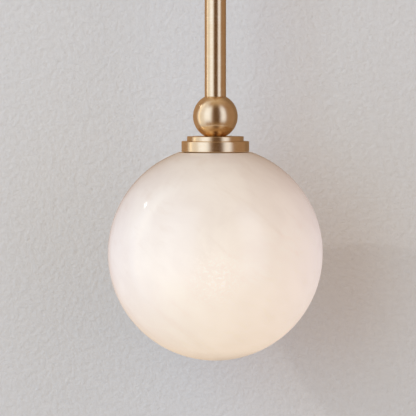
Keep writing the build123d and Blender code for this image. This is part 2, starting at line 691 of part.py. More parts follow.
with BuildPart() as socket_yoke:
    with BuildSketch(ROD_PLANE):
        with Locations((0, (YOKE_TOP + LEG_END) / 2)):
            Rectangle(2 * LEG_OUTSIDE, YOKE_LEG)
        with Locations((0, (YOKE_UNDER + LEG_END) / 2)):
            Rectangle(2 * LEG_INSIDE, YOKE_LEG - YOKE_THICK, mode=Mode.SUBTRACT)
    extrude(amount=YOKE_WIDTH / 2, both=True)
    fillet(socket_yoke.edges().filter_by(Axis.Y).group_by(Axis.Z)[-1], 2 * YOKE_THICK)
    inner_bends = socket_yoke.edges().filter_by(Axis.Y).filter_by_position(
        Axis.Z, YOKE_UNDER - THREAD_FIT, YOKE_UNDER + THREAD_FIT
    )
    fillet(inner_bends, YOKE_THICK)
    with BuildSketch(level_plane(YOKE_TOP)):
        Circle(HUB_DIA / 2)
    extrude(amount=HUB_HEIGHT)
    with BuildSketch(level_plane(YOKE_TOP)):
        Circle(TAPPED_R)
    extrude(amount=HUB_HEIGHT, mode=Mode.SUBTRACT)
    with BuildSketch(level_plane(YOKE_UNDER)):
        Circle(NIPPLE_BORE / 2)
    extrude(amount=YOKE_THICK, mode=Mode.SUBTRACT)
    for side in (-1, 1):
        with BuildSketch(rivet_plane(side, LEG_INSIDE)):
            Circle(RIVET_DIA / 2 + THREAD_FIT)
        extrude(amount=YOKE_THICK, mode=Mode.SUBTRACT)
socket_yoke.part.label = "socket_yoke"
export_step(socket_yoke.part, "parts/socket_yoke.step")

with BuildPart() as socket_rivets:
    for side in (-1, 1):
        with BuildSketch(rivet_plane(side, LEG_INSIDE - RIVET_DEPTH)):
            Circle(RIVET_DIA / 2)
        extrude(amount=RIVET_DEPTH + YOKE_THICK)
        with BuildSketch(rivet_plane(side, LEG_OUTSIDE)):
            Circle(RIVET_HEAD_DIA / 2)
        extrude(amount=RIVET_HEAD_THICK)
socket_rivets.part.label = "socket_rivets"
export_step(socket_rivets.part, "parts/socket_rivets.step")

# Socket body: fired clay, bored from below for the screw shell
LEAD_HOLE_R = LEAD_DIA / 2 + HOLE_FIT
with BuildPart() as socket_body:
    with BuildSketch(ROD_PLANE):
        with BuildLine():
            Polyline(
                (0, SOCKET_TOP),
                (SOCKET_R - SOCKET_LIP, SOCKET_TOP),
                (SOCKET_R, SOCKET_TOP - SOCKET_LIP),
                (SOCKET_R, SOCKET_END),
                (SOCKET_MOUTH_DIA / 2, SOCKET_END),
                (SHELL_R + THREAD_FIT, SHELL_END),
                (SHELL_R + THREAD_FIT, CAVITY_TOP),
                (0, CAVITY_TOP),
                close=True,
            )
        make_face()
    revolve(axis=ROD_AXIS)
    with BuildSketch(level_plane(CAVITY_TOP)):
        with Locations((LINE_HOLE_X, 0), (NEUTRAL_HOLE_X, 0)):
            Circle(LEAD_HOLE_R)
    extrude(amount=SOCKET_TOP - CAVITY_TOP, mode=Mode.SUBTRACT)
    for side in (-1, 1):
        with BuildSketch(rivet_plane(side, LEG_INSIDE - RIVET_DEPTH)):
            Circle(RIVET_DIA / 2 + THREAD_FIT)
        extrude(amount=RIVET_DEPTH, mode=Mode.SUBTRACT)
socket_body.part.label = "socket_body"
export_step(socket_body.part, "parts/socket_body.step")

# Screw shell: a thin cup with an open, inward rim on top
with BuildPart() as socket_shell:
    with BuildSketch(ROD_PLANE):
        with BuildLine():
            Polyline(
                (SHELL_BORE_R, SHELL_END),
                (SHELL_R, SHELL_END),
                (SHELL_R, SHELL_TOP),
                (SHELL_R - SHELL_RIM, SHELL_TOP),
                (SHELL_R - SHELL_RIM, SHELL_TOP - SHELL_WALL),
                (SHELL_BORE_R, SHELL_TOP - SHELL_WALL),
                close=True,
            )
        make_face()
    revolve(axis=ROD_AXIS)
socket_shell.part.label = "socket_shell"
export_step(socket_shell.part, "parts/socket_shell.step")

# Centre contact: a disc with a bent tongue that the lamp's button presses on
TONGUE_THICK = CONTACT_THICK
with BuildPart() as socket_contact:
    with BuildSketch(level_plane(CONTACT_UNDER)):
        Circle(CONTACT_DIA / 2)
    extrude(amount=CONTACT_THICK)
    with BuildSketch(ROD_PLANE):
        with BuildLine():
            Polyline(
                (-CONTACT_DIA / 2 + TONGUE_THICK, CONTACT_UNDER),
                (-TONGUE_THICK, CONTACT_UNDER - TONGUE_DROP),
                (TONGUE_WIDTH / 2, CONTACT_UNDER - TONGUE_DROP),
                (TONGUE_WIDTH / 2, CONTACT_UNDER - TONGUE_DROP + TONGUE_THICK),
                (-TONGUE_THICK / 2, CONTACT_UNDER - TONGUE_DROP + TONGUE_THICK),
                (-CONTACT_DIA / 2 + 2 * TONGUE_THICK, CONTACT_UNDER),
                close=True,
            )
        make_face()
    extrude(amount=TONGUE_WIDTH / 2, both=True)
socket_contact.part.label = "socket_contact"
export_step(socket_contact.part, "parts/socket_contact.step")

# ================================================================ globe
# Gasket between the globe's collar and the fitter
with BuildPart() as globe_gasket:
    with BuildSketch(level_plane(FLANGE_TOP)):
        Circle(GASKET_DIA / 2)
        Circle(RING_THREAD_R, mode=Mode.SUBTRACT)
    extrude(amount=GASKET_THICK)
globe_gasket.part.label = "globe_gasket"
export_step(globe_gasket.part, "parts/globe_gasket.step")

# Globe: a hollow stone ball with a flat and a neck hole on top
GLOBE_NECK_R = GLOBE_NECK_DIA / 2
GLOBE_FLAT_R = GLOBE_FLAT_DIA / 2
NECK_FOOT = GLOBE_Z + sqrt(GLOBE_BORE_R**2 - GLOBE_NECK_R**2)
with BuildPart() as globe_shade:
    with BuildSketch(ROD_PLANE):
        with BuildLine():
            Line((GLOBE_NECK_R, NECK_FOOT), (GLOBE_NECK_R, GLOBE_TOP))
            Line((GLOBE_NECK_R, GLOBE_TOP), (GLOBE_FLAT_R, GLOBE_TOP))
            ThreePointArc(
                (GLOBE_FLAT_R, GLOBE_TOP), (GLOBE_R, GLOBE_Z), (0, GLOBE_Z - GLOBE_R)
            )
            Line((0, GLOBE_Z - GLOBE_R), (0, GLOBE_Z - GLOBE_BORE_R))
            ThreePointArc(
                (0, GLOBE_Z - GLOBE_BORE_R), (GLOBE_BORE_R, GLOBE_Z), (GLOBE_NECK_R, NECK_FOOT)
            )
        make_face()
    revolve(axis=ROD_AXIS)
globe_shade.part.label = "globe_shade"
export_step(globe_shade.part, "parts/globe_shade.step")

# Globe collar: thread, flange on the flat, and a skirt bonded in the neck
COLLAR_TOP = WEB_UNDER - COLLAR_TOP_GAP
with BuildPart() as globe_collar:
    with BuildSketch(ROD_PLANE):
        with BuildLine():
            Polyline(
                (COLLAR_BORE / 2, COLLAR_TOP),
                (COLLAR_THREAD_DIA / 2 - FINE_EDGE, COLLAR_TOP),
                (COLLAR_THREAD_DIA / 2, COLLAR_TOP - FINE_EDGE),
                (COLLAR_THREAD_DIA / 2, FLANGE_TOP),
                (FLANGE_DIA / 2, FLANGE_TOP),
                (FLANGE_DIA / 2, GLOBE_TOP),
                (GLOBE_NECK_R - THREAD_FIT, GLOBE_TOP),
                (GLOBE_NECK_R - THREAD_FIT, GLOBE_TOP - SKIRT_LEN),
                (COLLAR_BORE / 2, GLOBE_TOP - SKIRT_LEN),
                close=True,
            )
        make_face()
    revolve(axis=ROD_AXIS)
globe_collar.part.label = "globe_collar"
export_step(globe_collar.part, "parts/globe_collar.step")

# ================================================================ bulb
# Bulb glass: a thin shell, open where its neck stands in the lamp base
BULB_R = BULB_DIA / 2
NECK_R = BULB_NECK_DIA / 2

def bulb_line(inset):
    """Smooth half outline of the bulb, drawn that far inside the glass's outer face."""
    swell = [
        (BULB_R * wide - inset, BULB_SEAT - BULB_GLASS_LEN * down)
        for wide, down in BULB_OUTLINE_RATIOS
    ]
    start = (NECK_R - inset, BULB_SEAT)
    end = (0, BULB_SEAT - BULB_GLASS_LEN + inset)
    return Spline(start, *swell, end, tangents=((0, -1), (-1, 0)))


with BuildPart() as bulb_glass:
    with BuildSketch(ROD_PLANE):
        with BuildLine():
            outer = bulb_line(0)
            inner = bulb_line(BULB_GLASS_WALL)
            Line(outer @ 1, inner @ 1)
            Polyline(
                inner @ 0,
                (NECK_R - BULB_GLASS_WALL, BULB_SEAT + BULB_NECK_GRIP),
                (NECK_R, BULB_SEAT + BULB_NECK_GRIP),
                outer @ 0,
            )
        make_face()
    revolve(axis=ROD_AXIS)
bulb_glass.part.label = "bulb_glass"
export_step(bulb_glass.part, "parts/bulb_glass.step")

BULB_BASE_R = BULB_BASE_DIA / 2
with BuildPart() as bulb_base:
    with BuildSketch(ROD_PLANE):
        with BuildLine():
            Polyline(
                (BULB_BASE_R - BULB_BASE_WALL, BULB_SEAT),
                (BULB_BASE_R, BULB_SEAT),
                (BULB_BASE_R, BULB_BASE_TOP),
                (BULB_BUTTON_DIA / 2, BULB_BASE_TOP),
                (BULB_BUTTON_DIA / 2, BULB_BASE_TOP - BULB_BASE_WALL),
                (BULB_BASE_R - BULB_BASE_WALL, BULB_BASE_TOP - BULB_BASE_WALL),
                close=True,
            )
        make_face()
    revolve(axis=ROD_AXIS)
bulb_base.part.label = "bulb_base"
export_step(bulb_base.part, "parts/bulb_base.step")

with BuildPart() as bulb_insulator:
    with BuildSketch(ROD_PLANE):
        with BuildLine():
            Polyline(
                (0, BULB_BASE_TOP),
                (BULB_INSULATOR_DIA / 2, BULB_BASE_TOP),
                (BULB_BUTTON_DIA / 2 + BULB_BASE_WALL, BULB_INSULATOR_TOP),
                (0, BULB_INSULATOR_TOP),
                close=True,
            )
        make_face()
    revolve(axis=ROD_AXIS)
bulb_insulator.part.label = "bulb_insulator"
export_step(bulb_insulator.part, "parts/bulb_insulator.step")

with BuildPart() as bulb_button:
    with BuildSketch(ROD_PLANE):
        with BuildLine():
            Polyline(
                (0, BULB_INSULATOR_TOP),
                (BULB_BUTTON_DIA / 2, BULB_INSULATOR_TOP),
                (BULB_BUTTON_DIA / 2, BULB_TIP - FINE_EDGE),
                (BULB_BUTTON_DIA / 2 - FINE_EDGE, BULB_TIP),
                (0, BULB_TIP),
                close=True,
            )
        make_face()
    revolve(axis=ROD_AXIS)
bulb_button.part.label = "bulb_button"
export_step(bulb_button.part, "parts/bulb_button.step")

# Light post inside the bulb: flared where it stands in the neck
POST_R = LED_POST_DIA / 2
POST_FOOT_R = NECK_R - BULB_GLASS_WALL - THREAD_FIT
with BuildPart() as bulb_led_post:
    with BuildSketch(ROD_PLANE):
        with BuildLine():
            Polyline(
                (0, BULB_SEAT + BULB_NECK_GRIP),
                (POST_FOOT_R, BULB_SEAT + BULB_NECK_GRIP),
                (POST_FOOT_R, BULB_SEAT),
                (POST_R, BULB_SEAT - LED_POST_FLARE),
                (POST_R, BULB_SEAT - LED_POST_LEN + FINE_EDGE),
                (POST_R - FINE_EDGE, BULB_SEAT - LED_POST_LEN),
                (0, BULB_SEAT - LED_POST_LEN),
                close=True,
            )
        make_face()
    revolve(axis=ROD_AXIS)
bulb_led_post.part.label = "bulb_led_post"
export_step(bulb_led_post.part, "parts/bulb_led_post.step")

# ================================================================ leads
# Each lead runs from a tail in the canopy through arm, elbow and rod to the socket. It is
# drawn in two lengths that meet in the swivel, where the real lead takes the twist.
LEAD_R = LEAD_DIA / 2
LEAD_X = LEAD_PITCH / 2
MEET_OUT = PROJECTION - LEAD_BEND
for name, side, hole_x, lead_end in (
    ("line", 1, LINE_HOLE_X, CAVITY_TOP),
    ("neutral", -1, NEUTRAL_HOLE_X, SHELL_TOP),
):
    with BuildPart() as arm_lead:
        with BuildLine() as tail:
            FilletPolyline(
                (side * LEAD_X, -MEET_OUT, 0),
                (side * LEAD_X, -LEAD_TAIL_OUT, 0),
                *((side * x, -LEAD_TAIL_OUT, z) for x, z in TAIL_ROUTE),
                radius=TAIL_BENDS,
            )
        with BuildSketch(Plane(origin=tail.line @ 0, z_dir=tail.line % 0)):
            Circle(LEAD_R)
        sweep()
    arm_lead.part.label = f"arm_{name}_lead"
    export_step(arm_lead.part, f"parts/arm_{name}_lead.step")

    with BuildPart() as rod_lead:
        with BuildLine() as drop:
            FilletPolyline(
                (side * LEAD_X, -MEET_OUT, 0),
                (side * LEAD_X, -PROJECTION, 0),
                (side * LEAD_X, -PROJECTION, YOKE_UNDER - LEAD_R),
                (hole_x, -PROJECTION, SOCKET_TOP + LEAD_R),
                (hole_x, -PROJECTION, lead_end),
                radius=(LEAD_BEND - THREAD_FIT, *SOCKET_BENDS),
            )
        with BuildSketch(Plane(origin=drop.line @ 0, z_dir=drop.line % 0)):
            Circle(LEAD_R)
        sweep()
    rod_lead.part.label = f"rod_{name}_lead"
    export_step(rod_lead.part, f"parts/rod_{name}_lead.step")

# Wire connectors: tapered caps on the ends of the two tails
last_x, last_z = TAIL_ROUTE[-1]
before_x, before_z = TAIL_ROUTE[-2]
with BuildPart() as wire_connectors:
    for side in (-1, 1):
        along = Vector(side * (last_x - before_x), 0, last_z - before_z).normalized()
        tip = Vector(side * last_x, -LEAD_TAIL_OUT, last_z)
        mouth = tip - along * CONNECTOR_GRIP
        with BuildSketch(Plane(origin=mouth, x_dir=(0, 1, 0), z_dir=along)):
            Circle(CONNECTOR_DIA / 2)
        with BuildSketch(
            Plane(origin=mouth + along * CONNECTOR_LEN, x_dir=(0, 1, 0), z_dir=along)
        ):
            Circle(CONNECTOR_TIP_DIA / 2)
        loft()
        with BuildSketch(Plane(origin=mouth, x_dir=(0, 1, 0), z_dir=along)):
            Circle(LEAD_R + THREAD_FIT)
        extrude(amount=CONNECTOR_GRIP + THREAD_FIT, mode=Mode.SUBTRACT)
wire_connectors.part.label = "wire_connectors"
export_step(wire_connectors.part, "parts/wire_connectors.step")

# Ground lead: from the lug's tail round to the ground screw
GROUND_R = GROUND_WIRE_DIA / 2
GROUND_FAR = LUG_BACK - GROUND_R
GROUND_NEAR = BAR_THICK + GROUND_R
SHANK_X = GROUND_SCREW_X - GROUND_SCREW_DIA / 2 - THREAD_FIT
with BuildPart() as ground_lead:
    with BuildLine() as loop:
        FilletPolyline(
            (-LUG_DIA / 2 - GROUND_WIRE_DIA, -GROUND_FAR, 0),
            (GROUND_LOOP_X, -GROUND_FAR, 0),
            (GROUND_LOOP_X, -GROUND_NEAR, 0),
            (SHANK_X, -GROUND_NEAR, 0),
            radius=GROUND_BEND,
        )
    with BuildSketch(Plane(origin=loop.line @ 0, z_dir=loop.line % 0)):
        Circle(GROUND_R)
    sweep()
ground_lead.part.label = "ground_lead"
export_step(ground_lead.part, "parts/ground_lead.step")
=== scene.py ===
"""Looks of a hanging pendant wall sconce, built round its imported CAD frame.

The frame gives every piece's place in metres: the wall is the plane y = 0, the room
lies towards -Y and +Z is up. Turned pieces are smooth surfaces of revolution, flat and
bent pieces are merged copies of the CAD mesh, and every finish is procedural.
"""

import logging
from abc import ABC, abstractmethod
from dataclasses import dataclass, field
from enum import Enum
from functools import reduce
from math import asin, cos, pi, radians, sin, sqrt
from operator import mul
from typing import Union

import bmesh
import bpy
import numpy as np
from mathutils import Matrix, Vector


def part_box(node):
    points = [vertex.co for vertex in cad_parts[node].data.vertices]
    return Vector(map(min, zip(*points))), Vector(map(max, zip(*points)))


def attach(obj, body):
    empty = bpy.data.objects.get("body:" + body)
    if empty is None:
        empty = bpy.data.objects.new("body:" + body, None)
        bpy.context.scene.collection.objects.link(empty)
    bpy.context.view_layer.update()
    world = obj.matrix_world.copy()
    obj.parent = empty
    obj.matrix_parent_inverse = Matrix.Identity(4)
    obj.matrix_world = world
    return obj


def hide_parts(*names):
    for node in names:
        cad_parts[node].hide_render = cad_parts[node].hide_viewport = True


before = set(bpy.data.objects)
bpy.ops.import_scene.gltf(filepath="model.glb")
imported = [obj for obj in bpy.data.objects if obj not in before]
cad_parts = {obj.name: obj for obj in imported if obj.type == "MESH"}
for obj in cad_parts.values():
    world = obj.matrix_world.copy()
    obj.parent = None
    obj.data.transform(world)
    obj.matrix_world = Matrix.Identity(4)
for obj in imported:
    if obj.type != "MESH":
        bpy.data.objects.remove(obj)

LOG = logging.getLogger("sconce")
MM = 0.001
CAD_MERGE = 2e-6  # distance under which a CAD mesh's vertices are merged
NUT_COLUMNS = 96
NUT_FACE = 0.475  # radius of a nut's face, as a share of its width over flats
NUT_BEVEL = 0.05  # width of the bevel round that face, as such a share
NUT_BEVEL_SLOPE = 0.58
NIPPLE_BORE = 3.3 * MM
NIPPLE_BEVEL = 0.45 * MM
NIPPLE_HOLE = 5.0 * MM  # radius of a hole that a nipple passes
LEAD_HOLE = 1.05 * MM  # radius of a hole that a lead passes
BACK_EDGE = 0.2 * MM  # rounding of edges that lie against a neighbour
FOOT_EDGE = 0.3 * MM  # rounding where a narrow step meets a wide one
Colour = tuple[float, float, float]
Number = Union["Signal", float]


class Body(Enum):
    """Moving bodies of the frame."""

    WALL = "wall_bracket"
    PENDANT = "pendant"
    GASKET = "gasket"
    GLOBE = "globe"
    BULB = "bulb"


@dataclass(frozen=True)
class NodeBox:
    """Extent of one CAD node at rest, in metres."""

    low: Vector
    high: Vector

    @classmethod
    def of(cls, node: str) -> "NodeBox":
        """Box of the named CAD node."""
        return cls(*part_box(node))

    @property
    def centre(self) -> Vector:
        """Middle of the box."""
        return (self.low + self.high) / 2

    @property
    def size(self) -> Vector:
        """Lengths of the box's sides."""
        return self.high - self.low


# ------------------------------------------------------------------ surfaces
@dataclass(frozen=True)
class Spindle:
    """Axis that a piece is turned about.

    Attributes:
        foot: Point of the axis at height 0.
        along: Unit vector in which the height grows.
        across: Unit vector where the turn starts.
    """

    foot: tuple[float, float, float]
    along: tuple[float, float, float]
    across: tuple[float, float, float]

    def points(self, radius: np.ndarray, height: np.ndarray, turn: np.ndarray) -> np.ndarray:
        """Points of a turned surface.

        Each point is foot + height * along + radius * (cos turn * across + sin turn *
        (along x across)).

        Args:
            radius: Distance from the axis of each point.
            height: Distance along the axis of each point.
            turn: Angle of each point, in radians.

        Returns:
            Array of the common shape of the arguments, with a last axis of 3.
        """
        radius, height, turn = np.broadcast_arrays(radius, height, turn)
        along, across = np.array(self.along), np.array(self.across)
        third = np.cross(along, across)
        aside = np.cos(turn)[..., None] * across + np.sin(turn)[..., None] * third
        return np.array(self.foot) + height[..., None] * along + radius[..., None] * aside

    def shifted(self, x: float) -> "Spindle":
        """The same spindle, with its foot at this X."""
        return Spindle((x, *self.foot[1:]), self.along, self.across)

    def reach(self, node: str) -> tuple[float, float]:
        """Lowest and highest height of a CAD node along the spindle."""
        box, foot = NodeBox.of(node), Vector(self.foot)
        low, high = sorted(Vector(self.along).dot(corner - foot) for corner in (box.low, box.high))
        return low, high


@dataclass(frozen=True)
class Surface:
    """Points and four-sided faces of a mesh in the making."""

    points: np.ndarray
    quads: np.ndarray

    @classmethod
    def grid(cls, points: np.ndarray, closed: bool = False) -> "Surface":
        """Joins a grid of points that runs round in its columns.

        Args:
            points: Array of rows by columns by 3; the last column joins the first.
            closed: Whether the last row joins the first as well.

        Returns:
            The surface, with a quad between each four neighbours.
        """
        rows, columns = points.shape[:2]
        index = np.arange(rows * columns).reshape(rows, columns)
        near, far = (index, np.roll(index, -1, axis=0)) if closed else (index[:-1], index[1:])
        quads = np.stack([near, np.roll(near, -1, axis=1), np.roll(far, -1, axis=1), far], axis=-1)
        return cls(points.reshape(-1, 3), quads.reshape(-1, 4))

    def __add__(self, other: "Surface") -> "Surface":
        """Both surfaces in one mesh."""
        quads = np.vstack([self.quads, other.quads + len(self.points)])
        return Surface(np.vstack([self.points, other.points]), quads)

    def mesh(self, name: str) -> bpy.types.Mesh:
        """Blender mesh of the surface, as yet unmerged."""
        made = bpy.data.meshes.new(name)
        made.vertices.add(len(self.points))
        made.vertices.foreach_set("co", self.points.astype(np.float32).ravel())
        made.loops.add(self.quads.size)
        made.loops.foreach_set("vertex_index", self.quads.astype(np.int32).ravel())
        made.polygons.add(len(self.quads))
        made.polygons.foreach_set("loop_start", np.arange(0, self.quads.size, 4, dtype=np.int32))
        made.update(calc_edges=True)
        return made


def finished(mesh: bpy.types.Mesh, merge: float = 1e-7, sharp: float = 32.0) -> bpy.types.Mesh:
    """Merges a mesh's doubles, turns its faces outward and smooths its shading.

    Args:
        mesh: Mesh to finish, changed in place.
        merge: Vertices closer than this are merged, in metres.
        sharp: Edges that turn by more than this stay sharp, in degrees.

    Returns:
        The same mesh.
    """
    work = bmesh.new()
    work.from_mesh(mesh)
    bmesh.ops.remove_doubles(work, verts=work.verts, dist=merge)
    bmesh.ops.recalc_face_normals(work, faces=work.faces)
    work.to_mesh(mesh)
    work.free()
    mesh.polygons.foreach_set("use_smooth", np.ones(len(mesh.polygons), dtype=bool))
    mesh.set_sharp_from_angle(angle=radians(sharp))
    return mesh


def node_copy(node: str) -> bpy.types.Mesh:
    """Merged and smoothed copy of a CAD node's mesh."""
    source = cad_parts[node].data.copy()
    source.name = f"{node}_copy"
    source.materials.clear()
    return finished(source, merge=CAD_MERGE)


def rounded(corners: list[tuple[float, float, float]], steps: int = 6) -> np.ndarray:
    """Half-section with its corners rounded by arcs.

    A corner (radius, height, fillet) of the path becomes an arc that touches both of
    its sides; a fillet of 0 leaves it sharp. The first and last corner stay as they are.

    Args:
        corners: Corners of the path, in metres.
        steps: Segments of each arc.

    Returns:
        Array of points by (radius, height).
    """
    path = [np.array([corners[0][:2]])]
    for before, (radius, height, fillet), after in zip(corners, corners[1:], corners[2:]):
        here = np.array([radius, height])
        if fillet <= 0:
            path.append(here[None])
            continue
        back = np.array(before[:2]) - here
        on = np.array(after[:2]) - here
        back, on = back / np.linalg.norm(back), on / np.linalg.norm(on)
        half = np.arccos(np.clip(back @ on, -1, 1)) / 2
        centre = here + (back + on) / np.linalg.norm(back + on) * fillet / sin(half)
        start, end = (here + side * fillet / np.tan(half) - centre for side in (back, on))
        sweep = pi - 2 * half
        share = np.linspace(0, 1, steps + 1)[:, None]
        bend = start * np.sin((1 - share) * sweep) + end * np.sin(share * sweep)
        path.append(centre + bend / sin(sweep))
    path.append(np.array([corners[-1][:2]]))
    return np.vstack(path)


def arc(centre: float, radius: float, start: float, end: float, count: int) -> np.ndarray:
    """Part of a circle about a point of the axis.

    Each point is (radius * sin a, centre + radius * cos a), for a from start to end.

    Args:
        centre: Height of the circle's centre.
        radius: Radius of the circle.
        start: First angle from the axis, in radians.
        end: Last angle from the axis, in radians.
        count: Number of points.

    Returns:
        Array of points by (radius, height).
    """
    angle = np.linspace(start, end, count)
    return np.stack([radius * np.sin(angle), centre + radius * np.cos(angle)], axis=1)


def turned(
    spindle: Spindle, profile: np.ndarray, columns: int = 128, closed: bool = True
) -> Surface:
    """Turns a half-section about a spindle.

    Args:
        spindle: Axis of the turn.
        profile: Array of points by (radius, height).
        columns: Points round the axis.
        closed: Whether the profile's last point joins its first.

    Returns:
        The surface of revolution.
    """
    turn = np.arange(columns) * 2 * pi / columns
    return Surface.grid(spindle.points(profile[:, :1], profile[:, 1:], turn[None]), closed)


@dataclass(frozen=True)
class Thread:
    """Screw thread cut in a turned surface.

    Attributes:
        pitch: Rise of a turn, in metres.
        depth: Height of its ridge, in metres; negative for a thread in a bore.
        flat: Share of the ridge that the crests take, from 0 to 1.
    """

    pitch: float
    depth: float
    flat: float = 0.25

    def cut(self, height: np.ndarray, turn: np.ndarray, low: float, high: float) -> np.ndarray:
        """Depth of the thread under its crest.

        A triangle wave of height / pitch - turn / 2 pi, cut flat at the crests, which
        fades over half a pitch at both ends.

        Args:
            height: Height of each point.
            turn: Angle of each point, in radians.
            low: Height where the thread starts.
            high: Height where it ends.

        Returns:
            Array of depths, 0 at the crests.
        """
        phase = height / self.pitch - turn / (2 * pi)
        wave = np.abs(2 * (phase - np.floor(phase)) - 1)
        wave = np.clip((wave - self.flat) / (1 - self.flat), 0, 1)
        run_in = np.clip((height - low) / (self.pitch / 2), 0, 1)
        run_out = np.clip((high - height) / (self.pitch / 2), 0, 1)
        return self.depth * wave * (run_in * run_out)

    def heights(self, low: float, high: float, steps: int = 8) -> np.ndarray:
        """Rows between two heights, with that many to each pitch."""
        return np.linspace(low, high, int(abs(high - low) / self.pitch * steps) + 2)


def threaded(
    spindle: Spindle, before: np.ndarray, crest: float, low: float, high: float, after: np.ndarray,
    thread: Thread, columns: int = 64,
) -> Surface:
    """Turned piece with a thread on one stretch of its profile.

    Args:
        spindle: Axis of the piece.
        before: Profile up to the thread.
        crest: Radius of the thread's crests.
        low: Height where the thread starts.
        high: Height where it ends; below low if the profile runs down.
        after: Profile from the thread on, back to the start.
        thread: The thread.
        columns: Points round the axis.

    Returns:
        The closed surface.
    """
    turn = np.arange(columns)[None] * 2 * pi / columns
    rows = thread.heights(low, high)[:, None]
    radius = crest - thread.cut(rows, turn, min(low, high), max(low, high))
    plain = np.ones_like(turn)
    radii = np.vstack([before[:, :1] * plain, radius, after[:, :1] * plain])
    heights = np.vstack([before[:, 1:] * plain, rows * plain, after[:, 1:] * plain])
    return Surface.grid(spindle.points(radii, heights, turn), closed=True)


def hexagon(turn: np.ndarray, flats: float) -> np.ndarray:
    """Radius of a hexagon, flats / 2 / cos of the angle to its nearest flat."""
    return flats / 2 / np.cos((turn + pi / 6) % (pi / 3) - pi / 6)


def hex_nut(
    spindle: Spindle, flats: float, bore: float, low: float, high: float,
    chamfered: tuple[bool, bool] = (True, True),
) -> Surface:
    """Hexagon nut, or a screw's head if it has no bore.

    The radius is that of the hexagon, held under a cone of 30 degrees by each face.

    Args:
        spindle: Axis of the nut.
        flats: Width over two flats.
        bore: Radius of the hole, 0 for a head.
        low: Height of the lower face.
        high: Height of the upper face.
        chamfered: Whether the lower and the upper face have their chamfer.

    Returns:
        The closed surface.
    """
    turn = np.arange(NUT_COLUMNS)[None] * 2 * pi / NUT_COLUMNS
    bevel, ring = flats * NUT_BEVEL, flats * NUT_FACE
    into, drop = (flats - ring) * np.tan(pi / 6), bevel * NUT_BEVEL_SLOPE
    bottom = [(ring, low), (ring + bevel, low + drop)] if chamfered[0] else [(flats, low)]
    top = [(ring + bevel, high - drop), (ring, high)] if chamfered[1] else [(flats, high)]
    sides = [(flats, min(low + into, high)), (flats, max(high - into, low))]
    limits = [(bore, low), *bottom, *sides, *top, (bore, high)]
    middle = (low + high) / 2
    levels = np.array([middle if r == flats and low < h < high else h for r, h in limits])[:, None]
    caps = np.array([r for r, _ in limits])[:, None]
    radius = np.minimum(caps, hexagon(turn, flats))
    if bore <= 0:
        radius[[0, -1]] = 0
    return Surface.grid(spindle.points(radius, levels, turn), closed=bore > 0)


# ------------------------------------------------------------------ shader graphs
class Signal:
    """Output socket of a shader node; arithmetic on it adds Math nodes."""

    def __init__(self, graph: "Graph", socket: bpy.types.NodeSocket) -> None:
        """Wraps a socket of the graph's tree."""
        self.graph = graph
        self.socket = socket

    def __add__(self, other: Number) -> "Signal":
        """Sum of both."""
        return self.graph.math("ADD", self, other)

    def __sub__(self, other: Number) -> "Signal":
        """This less the other."""
        return self.graph.math("SUBTRACT", self, other)

    def __mul__(self, other: Number) -> "Signal":
        """Product of both."""
        return self.graph.math("MULTIPLY", self, other)

    def __truediv__(self, other: Number) -> "Signal":
        """This over the other."""
        return self.graph.math("DIVIDE", self, other)

    def __radd__(self, other: float) -> "Signal":
        """Sum with a number on the left."""
        return self.graph.math("ADD", other, self)

    def __rsub__(self, other: float) -> "Signal":
        """A number less this."""
        return self.graph.math("SUBTRACT", other, self)

    def __neg__(self) -> "Signal":
        """This with its sign turned."""
        return self.graph.math("MULTIPLY", self, -1.0)

    def smooth(self, low: float, high: float) -> "Signal":
        """0 at low, 1 at high and a smooth step between; low may be the greater."""
        node = self.graph.node(
            "ShaderNodeMapRange",
            {"interpolation_type": "SMOOTHSTEP"},
            {"Value": self, "From Min": min(low, high), "From Max": max(low, high)},
        )
        step = Signal(self.graph, node.outputs["Result"])
        return step if low < high else 1 - step


